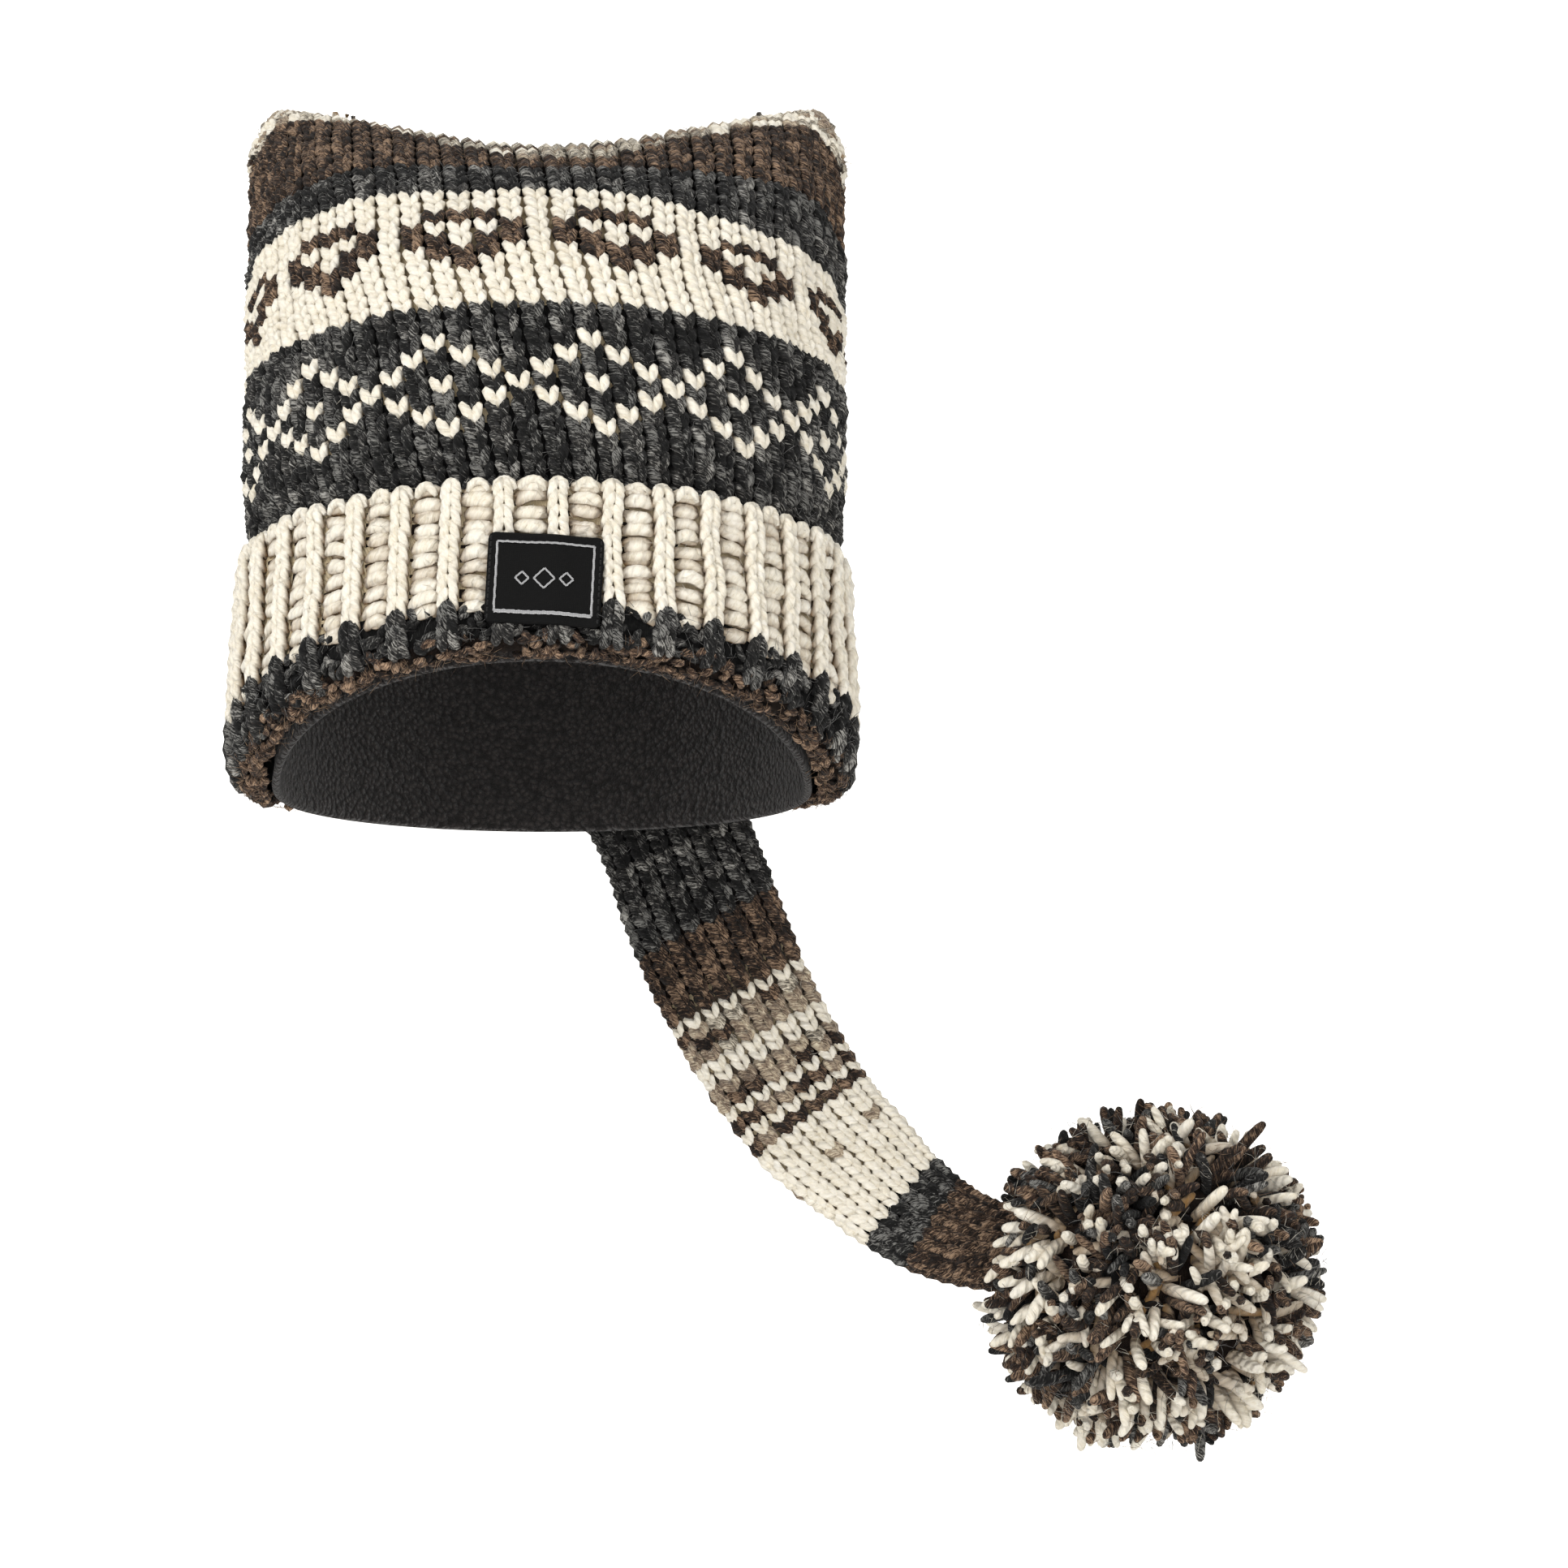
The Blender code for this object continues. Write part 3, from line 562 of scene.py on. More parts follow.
def tailPoint(share, along):
    level = np.interp(along, tailAlong, np.arange(len(tailAlong)))
    low = np.minimum(level.astype(int), len(tailAlong) - 2)
    rise = (level - low)[..., None]
    spot = (share % 1) * 96
    left = spot.astype(int) % 96
    right = (left + 1) % 96
    slide = (spot - np.floor(spot))[..., None]
    lower = tailRings[low, left] * (1 - slide) + tailRings[low, right] * slide
    upper = tailRings[low + 1, left] * (1 - slide) + tailRings[low + 1, right] * slide
    return lower * (1 - rise) + upper * rise


def tailPitch(along):
    # the stitches close round the free part; above, the tube is wider and its inner face is hidden
    girth = np.interp(along, tailAlong, tailGirth)
    closed = smoothStep((along - freeFrom + 0.060) / 0.035)
    pitch = girth / tail["stitches"]
    return (np.minimum(pitch, tail["widest"]) * (1 - closed) + pitch * closed) / girth


def tailSurface(column, up):
    along = -up * tail["rowPitch"]
    return tailPoint(0.5 + column * tailPitch(along), along)


cuff = {
    "ribs": 36,
    "rows": 15,
    "phase": math.radians(4),
    "ribPitch": 0.0181,
    "wall": 0.0055,
    "section": ((0.45, 1.00, 0.00), (0.92, 1.00, -0.25), (1.08, 0.92, 0.00), (1.12, 0.72, 0.00), (1.30, 0.46, 0.00),
                (1.40, 0.28, 0.00), (1.28, 0.11, 0.40), (0.98, 0.00, 0.75), (0.42, 0.00, 0.14), (-0.25, 0.00, 0.00),
                (-0.96, 0.00, 0.45), (-0.96, 0.00, 1.00)),
    "relief": 0.0009,
    "crumbs": ((charcoal, 9.2, 12.2, 640), (rust, 11.5, 15.1, 780)),  # wool, first and last row, how many
    "backing": (0.0028, 0.0004),
    "underPatch": {"across": 0.0026, "level": -0.1665, "halfWidth": 0.0205, "halfHeight": 0.0172, "sink": 0.0013},
    "leg": {"wide": 0.00165, "deep": 0.0018, "sink": 0.0011},
}
cuffLine = easedRows(cuff["section"], np.linspace(0, 1, 221))


def cuffPlace(angle, place):
    out, up, lift = (np.interp(place * 20, np.arange(221), cuffLine[:, i]) for i in range(3))
    rim = rimHeight(angle)
    height = rim + up * (bag["cuffTop"] - rim) + lift * cuff["wall"]
    outward = bag["fitGap"] - bag["pinch"] + out * cuff["wall"] + cuff["relief"]
    return np.stack([(halfWidth + outward) * np.cos(angle), (halfDepth + outward) * np.sin(angle), height], -1)


frontLine = cuffPlace(np.full(221, -math.pi / 2), np.arange(221) / 20)
frontRun = np.concatenate([[0], np.cumsum(np.linalg.norm(np.diff(frontLine, axis=0), axis=1))])
# rows are counted from the top edge (place 1) to the inside of the rolled rim (place 10)
rowRun = np.linspace(frontRun[20], frontRun[200], cuff["rows"] + 1)


def cuffSurface(column, up):
    run = np.interp(-up, np.arange(-1, cuff["rows"] + 2),
                    np.concatenate([[frontRun[0]], rowRun, [frontRun[-1]]]))
    angle = -math.pi / 2 + cuff["phase"] + 2 * math.pi * column / cuff["ribs"]
    wobble = 0.0004 * np.sin(up * 0.9 + column * 2.3) + 0.0003 * np.sin(column * 1.3 - up * 0.5)
    place = np.interp(run, frontRun, np.arange(221) / 20)
    point = cuffPlace(angle + wobble * 5, place)
    patch = cuff["underPatch"]
    under = smoothStep((patch["halfWidth"] - np.abs(point[..., 0] - patch["across"])) / 0.002) * (point[..., 1] < 0)
    level = smoothStep((patch["halfHeight"] - np.abs(point[..., 2] - patch["level"])) / 0.002)
    wobble = wobble - patch["sink"] * under * level
    return point + wobble[..., None] * np.stack([np.cos(angle), np.sin(angle), 0 * angle], -1)


print("surfaces ready: tail rows", tailRowCount, "free from row", round(float(freeFrom / tail["rowPitch"]), 1))


def tailCovers(point):
    # where the tail lies over the bag's back, so that no stitch is made under it
    down = (bag["ridgeTop"] - point[:, 2]) / tail["fall"]
    rows = np.array(tail["rows"])
    width = np.interp(down, [-0.02, *rows[:, 0]], [tail["topWidth"], *rows[:, 2] * tail["width"]])
    middle = np.interp(down, [0, *rows[:, 0]], [0, *rows[:, 1] * tail["sway"]])
    return (point[:, 1] > 0.02) & (np.abs(point[:, 0] - middle) < width / 2 - tail["tuckUnder"])


def addRidge(store):
    # stitches that pass over the fold between the two corners and on to the tail's first row
    count = crown["ridgeSpots"]
    spot = np.linspace(-0.985, 0.985, count) * halfWidth + draw.normal(0, 0.0003, count)
    turn = np.array([-0.105, -0.065, -0.025, 0.012, 0.04, 0.07])
    for hand in (-1, 1):
        x = spot[:, None] + hand * (0.0009 + 0.0011 * turn / 0.105)
        x = np.clip(x, -0.995 * halfWidth, 0.995 * halfWidth)
        fold = domePoint(x, np.where(turn < 0, -1.0, 1.0), 1 - np.abs(turn))
        onTail = tailPoint(0.5 - 0.24 * x / 0.095, np.broadcast_to(np.maximum(turn - 0.01, 0) * 0.11, x.shape))
        toTail = ((np.abs(x) < 0.0935) & (turn > 0))[..., None]
        point = np.where(toTail, onTail, fold)
        lean = np.clip(turn / 0.105, -1, 1) * 0.6
        normal = np.broadcast_to(np.stack([0 * turn, lean, np.sqrt(1 - lean**2)], -1), point.shape)
        size = np.array([0.5, 0.95, 1.0, 1.0, 1.0, 0.6]) * (1 + draw.normal(0, 0.05, (count, 1)))
        corner = smoothStep((np.abs(spot) / halfWidth - 0.45) / 0.25)
        pick = draw.uniform(0, 1, count)
        finish = np.where(pick < 0.10 + 0.5 * corner, ecru, np.where(pick < 0.75, marl, oatmeal))
        addTubes(store, point - normal * 0.0006, normal, 0.0019 * size, 0.0018 * size, finish, rise=0.0)


def makeCrown():
    column, row = (a.ravel().astype(float) for a in np.meshgrid(np.arange(crown["stitches"]), np.arange(-1, 42)))
    base = crownSurface(column, row)
    keep = (crownTurn(base[:, 0], row + 0.9) < 0.995) & ~tailCovers(base)
    column, row, base = column[keep], row[keep], base[keep]
    finish = crownWool(column, row, base[:, 0])
    plump = 1 + 0.06 * ((finish == brown) & (row < 22)) - 0.10 * smoothStep((row - 24) / 6)
    backColumn, backRow = np.meshgrid(np.arange(144) / 2, np.arange(-4, 43).astype(float))
    back, normal = surfaceFrame(crownSurface, backColumn, backRow)
    tuck = smoothStep((np.abs(back[..., 0]) / halfWidth - 0.84) / 0.1) * smoothStep((backRow - 25) / 5)
    back[..., 0] *= 1 - 0.07 * tuck
    onFold = crownTurn(back[..., 0], backRow) > 0.93
    normal[onFold | (np.linalg.norm(normal, axis=-1) < 0.5)] = (0, 0, 1)
    # the backing is painted in darker copies of the wools above it: painted shade in the gaps between stitches
    shade = shadeOf[crownWool(backColumn[:-1] + 0.1, backRow[:-1] + 0.1, back[:-1, :, 0])]
    shade[(backRow[:-1] >= 26) & (shade == ecruBackShade)] = marlBackShade
    pieces = []
    for name, low, high in (("crownLower", -1, 12), ("crownMiddle", 12, 22), ("crownUpper", 22, 45)):
        store = newStore()
        here = (row >= low) & (row < high)
        addKnit(store, crownSurface, column[here], row[here], finish[here], crown["leg"], plump=plump[here])
        if name == "crownUpper":
            addRidge(store)
            addGrid(store, back - normal * np.where(onFold, *crown["backing"][::-1])[..., None], shade)
        pieces.append(makeMesh(name, store, wools))
    return pieces


crownPieces = makeCrown()


tailBands = (  # rows from the pompom upwards, and their wool
    (7, brown), (3, charcoal), (10, ecru), (1, brown), (1, ecru), (1, brown), (1, ecru), (2, oatmeal), (2, ecru),
    (3, oatmeal), (1, ecru), (6, brown), (3, charcoal), (1, ash), (2, charcoal), (1, ash), (9, charcoal),
    (8, brown), (1, ecru), (2, oatmeal), (1, ecru), (2, oatmeal), (8, ecru), (6, charcoal), (7, brown), (99, marl),
)
tailFinish = np.repeat([wool for _, wool in tailBands], [rowsHere for rowsHere, _ in tailBands])


def makeTail():
    rows = np.arange(tailRowCount)
    columns, ups, finish, rowOf = [], [], [], []
    for row in rows:
        along = (row + 0.5) * tail["rowPitch"]
        girth = float(np.interp(along, tailAlong, tailGirth))
        pitch = float(tailPitch(np.array(along))) * girth
        most = tail["stitches"] // 2 if along > freeFrom - 0.012 else int((girth / 4 + 0.009) / pitch)
        here = np.arange(-most, most) + 0.5
        columns.append(here)
        ups.append(np.full(len(here), -(row + 1.0)))
        finish.append(np.full(len(here), tailFinish[tailRowCount - 1 - row]))
        rowOf.append(np.full(len(here), row))
    columns, ups, finish, rowOf = (np.concatenate(x) for x in (columns, ups, finish, rowOf))
    # single ecru rows are drawn tight between the heathers, which carry stray stitches of their neighbours' wool
    above = tailFinish[np.maximum(tailRowCount - 2 - rowOf, 0)]
    single = (finish == ecru) & (above != ecru)
    pick = draw.uniform(0, 1, len(finish))
    finish = np.where((finish == oatmeal) & (pick < 0.22), brown, finish)
    finish = np.where((finish == oatmeal) & (pick > 0.86), marl, finish)
    finish = np.where((rowOf > 90) & (rowOf < 93) & (finish == ecru) & (pick < 0.14), oatmeal, finish)
    finish = np.where((rowOf > 82) & (rowOf < 89) & (finish == brown) & (pick > 0.62), oatmeal, finish)
    plump = np.where(single, 0.84, np.where(finish == ecru, 1.0, 1.08))
    share, along = np.meshgrid(np.arange(64) / 64, np.linspace(tailAlong[-1], 0, 100))
    point, normal = surfaceFrame(lambda a, u: tailPoint(a, -u), share, -along, 0.002)
    back = point - normal * tail["backing"]
    fromTop = along[:-1, 0] / tail["rowPitch"]
    # the backing and its end caps are painted in darker copies of each row's wool: painted shade in the gaps between
    # stitches
    shade = shadeOf[tailFinish[np.clip(tailRowCount - 1 - fromTop, 0, len(tailFinish) - 1).astype(int)]]
    pieces = []
    split = int(freeFrom / tail["rowPitch"]) - 8
    for name, low, high in (("tailUpper", 0, split), ("tailLower", split, tailRowCount)):
        store = newStore()
        here = (rowOf >= low) & (rowOf < high)
        addKnit(store, tailSurface, columns[here], ups[here], finish[here], tail["leg"], plump=plump[here], sides=5)
        if name == "tailLower":
            addGrid(store, back, np.repeat(shade, 64))
            addCap(store, back[0][::-1], brownBackShade)
            addCap(store, back[-1], marlBackShade)
        pieces.append(makeMesh(name, store, wools))
    return pieces


tailPieces = makeTail()


def cuffWool(row, purl=False):
    return np.where((row < 9) | (purl & (row == 9)), ecru, np.where(row < 12, charcoal, rust))


def addArcs(store, column, up, half, turn, bow, sunk, ends, wide, deep, finish, stations=5, sides=6):
    # short bent lengths of yarn on the cuff, in metres, as purl bumps, edge loops and crumbs of a loose rim are
    t = np.linspace(-1, 1, stations)
    count = len(column)
    along, aside = half[:, None] * t, bow[:, None] * (1 - t**2)
    across = column[:, None] + (along * np.cos(turn)[:, None] - aside * np.sin(turn)[:, None]) / cuff["ribPitch"]
    rise = up[:, None] + (along * np.sin(turn)[:, None] + aside * np.cos(turn)[:, None]) / (rowRun[1] - rowRun[0])
    point, normal = surfaceFrame(cuffSurface, across, rise)
    depth = sunk[:, None] + ends * t**2
    fill = np.sqrt(np.clip(1 - (np.abs(t) * 0.92) ** 3, 0.12, 1))
    size = fill * (1 + draw.normal(0, 0.08, (count, 1)))
    addTubes(store, point - normal * depth[..., None], normal, wide * size, deep * size, finish, sides,
             rise=0.0016 - depth)


def makeCuff():
    store = newStore()
    ribs = cuff["ribs"]
    column, row = (a.ravel().astype(float) for a in np.meshgrid(np.arange(ribs), np.arange(0, 12)))
    finish = cuffWool(row)
    finish = np.where((finish == charcoal) & (draw.uniform(0, 1, len(row)) < 0.45), ash, finish)
    addKnit(store, lambda c, u: cuffSurface(c / 2, u), column * 2, -(row + 1), finish, cuff["leg"], ribLeg, True,
            plump=np.where(finish == ecru, 1.0, 1.12))
    # purl bumps between them: one full and one behind it for each row
    column, row = (a.ravel() for a in np.meshgrid(np.arange(ribs) + 0.51, np.arange(0, 10)))
    count = len(column)
    finish = cuffWool(row, True)
    addArcs(store, column + draw.normal(0, 0.010, count), -(row + 0.60) + draw.normal(0, 0.05, count),
            draw.normal(0.0054, 0.0004, count), draw.normal(0, 0.17, count), draw.normal(0.0012, 0.0007, count),
            draw.normal(0.0021, 0.0004, count), 0.0008, 0.0025, 0.0014, finish)
    addArcs(store, column + draw.normal(0, 0.02, count), -(row + 0.12) + draw.normal(0, 0.05, count),
            draw.normal(0.0052, 0.0005, count), draw.normal(0, 0.16, count), draw.normal(-0.0010, 0.0005, count),
            draw.normal(0.0024, 0.0004, count), 0.0007, 0.0023, 0.0013, finish)
    # the dark edge and the rolled rim are loose and crumbly
    for wool, low, high, count in cuff["crumbs"]:
        column = draw.uniform(0, ribs, count)
        row = draw.uniform(low, high, count)
        knit = np.abs((column + 0.5) % 1 - 0.5) < 0.17
        finish = np.where(draw.uniform(0, 1, count) < 0.22, ash if wool == charcoal else brown, wool)
        keep = ~(knit & (row < 10.6))
        column, row, finish = column[keep], row[keep], finish[keep]
        count = len(row)
        addArcs(store, column, -row, draw.uniform(0.0016, 0.0034, count), draw.normal(0, 0.75, count),
                draw.normal(0, 0.0011, count), draw.normal(0.0018, 0.0006, count), 0.0011, 0.0014, 0.0013, finish,
                sides=5)
    # bound-off loops along the top edge, one for each stitch
    edge = np.arange(ribs * 2) / 2
    count = len(edge)
    addArcs(store, edge, np.full(count, -0.80) + draw.normal(0, 0.06, count), draw.normal(0.0034, 0.0003, count),
            draw.normal(0, 0.08, count), draw.normal(0.0048, 0.0005, count), draw.normal(0.0010, 0.0003, count), 0.0008,
            0.0017, 0.0018, np.full(count, ecru), stations=7)
    # the cloth behind is each row's wool painted darker as painted shade, and it is painted dark brown, as the shade in
    # them, only in the holes at the right of each knit column
    ribColumn, ribRow = np.meshgrid(np.arange(ribs * 6) / 6, -np.linspace(15.8, -0.9, 68))
    back, normal = surfaceFrame(cuffSurface, ribColumn, ribRow)
    recess = cuff["backing"][0] + cuff["backing"][1] * (1 - np.cos(2 * math.pi * ribColumn))
    shade = np.repeat(shadeOf[cuffWool(-ribRow[:-1, 0])][:, None], ribs * 6, 1)
    holeShade = (np.arange(ribs * 6)[None] % 6 == 1) & (draw.uniform(0, 1, shade.shape) < 0.35) & (shade == ecruBackShade)
    addGrid(store, back - normal * recess[..., None], np.where(holeShade, brownBackShade, shade))
    return makeMesh("cuffRib", store, wools)


cuffPiece = makeCuff()
print("knitting done")


lining = {"wall": 0.0025, "tuck": 0.0025, "backDrop": 0.0091, "sides": 120, "rings": 22,
          "seamUp": 7, "seamDeep": 0.0007}


def liningRings(inset):
    wide = halfWidth - bag["pinch"] - bag["knitWall"] - bag["fitGap"] - inset
    deep = halfDepth - bag["pinch"] - bag["knitWall"] - bag["fitGap"] - inset
    top = lining["wall"] - inset
    power = 2 / bag["domeFullness"]
    angle = np.arange(lining["sides"]) * 2 * math.pi / lining["sides"]
    soft = 0.0006 * np.sin(angle * 7 + 1.0) + 0.0004 * np.sin(angle * 13 + 0.4)
    bottom = rimHeight(angle) + lining["tuck"] - lining["backDrop"] * np.maximum(0, np.sin(angle))
    rings = []
    for up in np.linspace(0, 1, lining["rings"]):
        height = bottom + (bag["shoulder"] - bottom) * up
        fold = soft * np.sin(up * 5) * (1 - up)
        # a line of stitches holds the hem, 7 mm above the edge
        seam = -lining["seamDeep"] * np.exp(-(((height - bottom) * 1000 - lining["seamUp"]) / 1.1) ** 2)
        out = (fold - seam if inset else fold + seam) - 0.0002
        rings.append(np.stack([(wide + out) * np.cos(angle), (deep + out) * np.sin(angle), height], -1))
    for turn in np.linspace(0, math.pi / 2, lining["rings"])[1:]:
        outward = max(math.cos(turn), 0.0) ** power + 0.004 * (turn > 1.56)
        rings.append(np.stack([
            wide * outward * np.cos(angle),
            bag["ridgeSetback"] * (1 - outward) + deep * outward * np.sin(angle),
            np.full(lining["sides"], bag["shoulder"] + (top - bag["shoulder"]) * math.sin(turn) ** power)], -1))
    return np.array(rings)


def makeLining():
    outside, inside = liningRings(0.0), liningRings(lining["wall"])
    hem = (outside[0] + inside[0]) / 2 - np.array([0, 0, 0.0009])
    rings = np.concatenate([inside[::-1], hem[None], outside])
    store = newStore()
    addGrid(store, rings, np.zeros((len(rings) - 1) * lining["sides"], int))
    addCap(store, outside[-1], 0)
    addCap(store, inside[-1][::-1], 0)
    return makeMesh("fleeceLining", store, [fleece])


liningPiece = makeLining()


label = {
    "width": 0.0375, "height": 0.031, "offset": 0.0026, "up": 0.40, "turn": math.radians(-2.5),
    "corner": 0.0026, "columns": 49, "rows": 41,
    "borderSide": 0.0157, "borderTop": 0.0122, "borderLow": -0.0118,
    "lozenges": ((0, 0.0034), (-0.0072, 0.0022), (0.0072, 0.0022)),
    "seamSide": 0.0178, "seamReach": 0.0135, "seamStitch": 0.0007,
}


def labelSpot(across, upright, proud):
    x = label["offset"] + across * math.cos(label["turn"]) - upright * math.sin(label["turn"])
    middle = rimHeight(np.array(-math.pi / 2))
    middle = middle + label["up"] * (bag["cuffTop"] - middle)
    z = middle + across * math.sin(label["turn"]) + upright * math.cos(label["turn"])
    angle = -math.pi / 2 + np.arcsin(x / halfWidth)
    rim = rimHeight(angle)
    up = (z - rim) / (bag["cuffTop"] - rim)
    out = np.interp(-up, (-1, -0.92, -0.72, -0.46, -0.28, -0.11), (0.92, 1.08, 1.12, 1.30, 1.40, 1.28))
    outward = bag["fitGap"] * 2.5 - bag["pinch"] + out * cuff["wall"] + cuff["relief"]
    # it waves a little over the ribs
    wave = 0.00035 * np.cos(2 * math.pi * (x / cuff["ribPitch"] - 0.33)) + 0.0003 * np.sin(z * 230 + x * 90)
    reach = halfDepth + outward + wave + proud
    return np.stack([x, -reach * np.sqrt(1 - (x / (halfWidth + outward)) ** 2), z], -1)


def labelLine(store, corners, wide, deep, finish, stations, proud=0.0010):
    for (ax, ay), (bx, by) in zip(corners, corners[1:]):
        t = np.linspace(0, 1, stations)
        wiggle = 0.00009 * np.sin(t * stations * 1.9)
        across, upright = ax + (bx - ax) * t + wiggle * (by != ay), ay + (by - ay) * t + wiggle * (by == ay)
        path = labelSpot(across, upright, proud)[None]
        normal = np.tile([0.0, -1.0, 0.0], (1, stations, 1))
        size = np.full((1, stations), 1.0) * (1 + 0.12 * np.cos(t * stations * 3.1))
        addTubes(store, path, normal, wide * size, deep * size, np.array([finish]), sides=5)


def makeLabel():
    store = newStore()
    halfW, halfH = label["width"] / 2, label["height"] / 2
    a, u = np.meshgrid(np.linspace(-halfW, halfW, label["columns"]), np.linspace(-halfH, halfH, label["rows"]))
    # rounded corners
    corner = label["corner"]
    inX, inU = np.maximum(np.abs(a) - halfW + corner, 0), np.maximum(np.abs(u) - halfH + corner, 0)
    pull = np.where((inX > 0) & (inU > 0), np.maximum(inX, inU) / np.maximum(np.hypot(inX, inU), 1e-9), 1.0)
    a, u = a - np.sign(a) * inX * (1 - pull), u - np.sign(u) * inU * (1 - pull)
    # the folded edges are thicker than the middle, most at the two sides
    sideFold = smoothStep((np.abs(a) - halfW + 0.0035) / 0.0006)
    edge = 0.00035 * (sideFold + smoothStep((np.abs(u) - halfH + 0.0020) / 0.0006) * 0.6)
    rounded = 0.0004 * smoothStep((np.maximum(np.abs(a) - halfW, np.abs(u) - halfH) + 0.0005) / 0.0005)
    front = labelSpot(a, u, 0.0007 + edge - rounded)
    back = labelSpot(a, u, -0.0002 + 0 * a)
    size = a.size
    index = np.arange(size).reshape(a.shape)
    quads = np.stack([index[:-1, :-1], index[:-1, 1:], index[1:, 1:], index[1:, :-1]], -1).reshape(-1, 4)
    rimLoop = np.concatenate([index[0, :-1], index[:-1, -1], index[-1, :0:-1], index[:0:-1, 0]])
    after = np.roll(rimLoop, -1)
    flat = np.stack([a, u], -1).reshape(-1, 2) * 1000
    sides = np.stack([rimLoop, rimLoop + size, after + size, after], -1)
    uv = np.concatenate([flat, flat])
    faces = np.concatenate([quads, quads[:, ::-1] + size, sides])
    addPart(store, np.concatenate([front.reshape(-1, 3), back.reshape(-1, 3)]), np.full(2 * size, 0.5),
            [faces], [uv[faces]], [np.zeros(len(faces), int)])
    x, top, low = label["borderSide"], label["borderTop"], label["borderLow"]
    for ends, wide, deep, stations in (
            ([(-x, low), (-x, top)], 0.00036, 0.0002, 20), ([(x, low), (x, top)], 0.00036, 0.0002, 20),
            ([(-x, top), (x, top)], 0.00036, 0.0002, 40), ([(-x, low), (x, low)], 0.00062, 0.00024, 40)):
        labelLine(store, ends, wide, deep, 1, stations)
    for middle, half in label["lozenges"]:
        labelLine(store, [(middle - half, 0), (middle, half), (middle + half, 0), (middle, -half), (middle - half, 0)],
                  0.0003, 0.00018, 1, 9)
    # black thread that sews the patch down at its two sides
    reach, stitch = label["seamReach"], label["seamStitch"]
    for x in (-label["seamSide"], label["seamSide"]):
        for place in np.linspace(-reach, reach, 13):
            labelLine(store, [(x, place - stitch), (x, place + stitch)], 0.00028, 0.00028, 2, 5, 0.0011)
    return makeMesh("wovenPatch", store, [labelWeave, silverThread, blackThread])


labelPiece = makeLabel()


pompom = {"core": 0.046, "reach": 0.0608, "seat": 0.0002, "strands": 1750, "drop": math.radians(12),
          "bare": math.radians(24), "thick": 0.0020, "strandStart": 0.034, "ball": 0.043}


def makePompom():
    toCentre = np.array([math.cos(pompom["drop"]), 0, -math.sin(pompom["drop"])])
    centre = tailRings[-1].mean(axis=0) + toCentre * (pompom["core"] - pompom["seat"])
    count = pompom["strands"]
    order = np.arange(count) + 0.5
    level = 1 - 2 * order / count
    spin = order * math.pi * (3 - math.sqrt(5))
    ring = np.sqrt(1 - level**2)
    direction = np.stack([ring * np.cos(spin), ring * np.sin(spin), level], -1)
    direction = unit(direction + draw.normal(0, 0.045, (count, 3)))
    direction = direction[direction @ -toCentre < math.cos(pompom["bare"])]
    count = len(direction)
    # neighbours lean the same way in tufts, with their own stray bend on top
    swirl = np.array([[7.1, -5.2, 3.0], [2.3, 8.0, -6.1], [-4.4, 3.9, 7.7]])
    tuft = np.sin(direction @ swirl + np.array([0.4, 1.9, 3.1]))
    sideways = tuft * 0.9 + draw.normal(0, 0.8, (count, 3)) + np.array([0, 0, -0.3])
    sideways = unit(sideways - direction * (sideways * direction).sum(1, keepdims=True))
    bend = np.abs(draw.normal(0, 0.013, count)) + 0.006
    reach = pompom["reach"] * (1.01 - np.abs(draw.normal(0, 0.050, count)))
    reach = np.where(draw.uniform(0, 1, count) < 0.025, pompom["reach"] * 1.07, reach)
    # palest towards the lower front; elsewhere the three wools lie in clumps
    patch = np.sin(direction @ np.array([6.1, 2.0, 4.3]) + 0.7) + np.sin(direction @ np.array([-3.7, 5.6, 5.1]) + 2.1)
    lot = patch * 0.20 + draw.uniform(0, 1, count)
    bright = direction @ unit(np.array([0.30, -0.93, -0.12])) > math.cos(0.42)
    finish = np.where(lot < 0.25, charcoal, np.where(lot < 0.66, brown, ecru))
    finish = np.where((finish == charcoal) & (draw.uniform(0, 1, count) < 0.3), ash, finish)
    finish = np.where((finish == brown) & (draw.uniform(0, 1, count) < 0.45), rust, finish)
    finish = np.where(bright & (draw.uniform(0, 1, count) < 0.7), ecru, finish)
    t = np.array([0.0, 0.3, 0.58, 0.80, 0.92, 0.98, 1.0])
    start = pompom["strandStart"]
    radial = start + (reach[:, None] - start) * t - (bend[:, None] ** 2 / 0.045) * t**2
    path = centre + direction[:, None] * radial[..., None] + sideways[:, None] * (bend[:, None] * t**2)[..., None]
    normal = np.broadcast_to(np.cross(direction, sideways)[:, None], path.shape)
    thick = pompom["thick"] * draw.uniform(0.80, 1.12, count)
    size = thick[:, None] * np.array([0.85, 0.95, 1.0, 1.0, 0.88, 0.62, 0.30])
    store = newStore()
    # painted shade: each strand is painted darker the nearer it lies to the middle of the ball, and hardly darker on
    # one side than the other
    addTubes(store, path, normal, size, size, finish, rise=(radial - 0.056) * 0.16, roundShade=0.15)
    # a dark ball of packed yarn closes the middle; its brown is the backing wool, made dark as painted shade
    turn = np.linspace(-math.pi / 2 + 0.05, math.pi / 2 - 0.05, 25)
    lat, lon = np.meshgrid(turn, np.arange(48) * 2 * math.pi / 48, indexing="ij")
    ball = centre + pompom["ball"] * np.stack([np.cos(lat) * np.cos(lon), np.cos(lat) * np.sin(lon), np.sin(lat)], -1)
    addGrid(store, ball, np.full((24, 48), brownBackShade))
    addCap(store, ball[-1], brownBackShade)
    addCap(store, ball[0][::-1], brownBackShade)
    return makeMesh("yarnPompom", store, wools), centre, direction, reach, finish


pompomPiece, pompomCentre, strandWay, strandReach, strandFinish = makePompom()


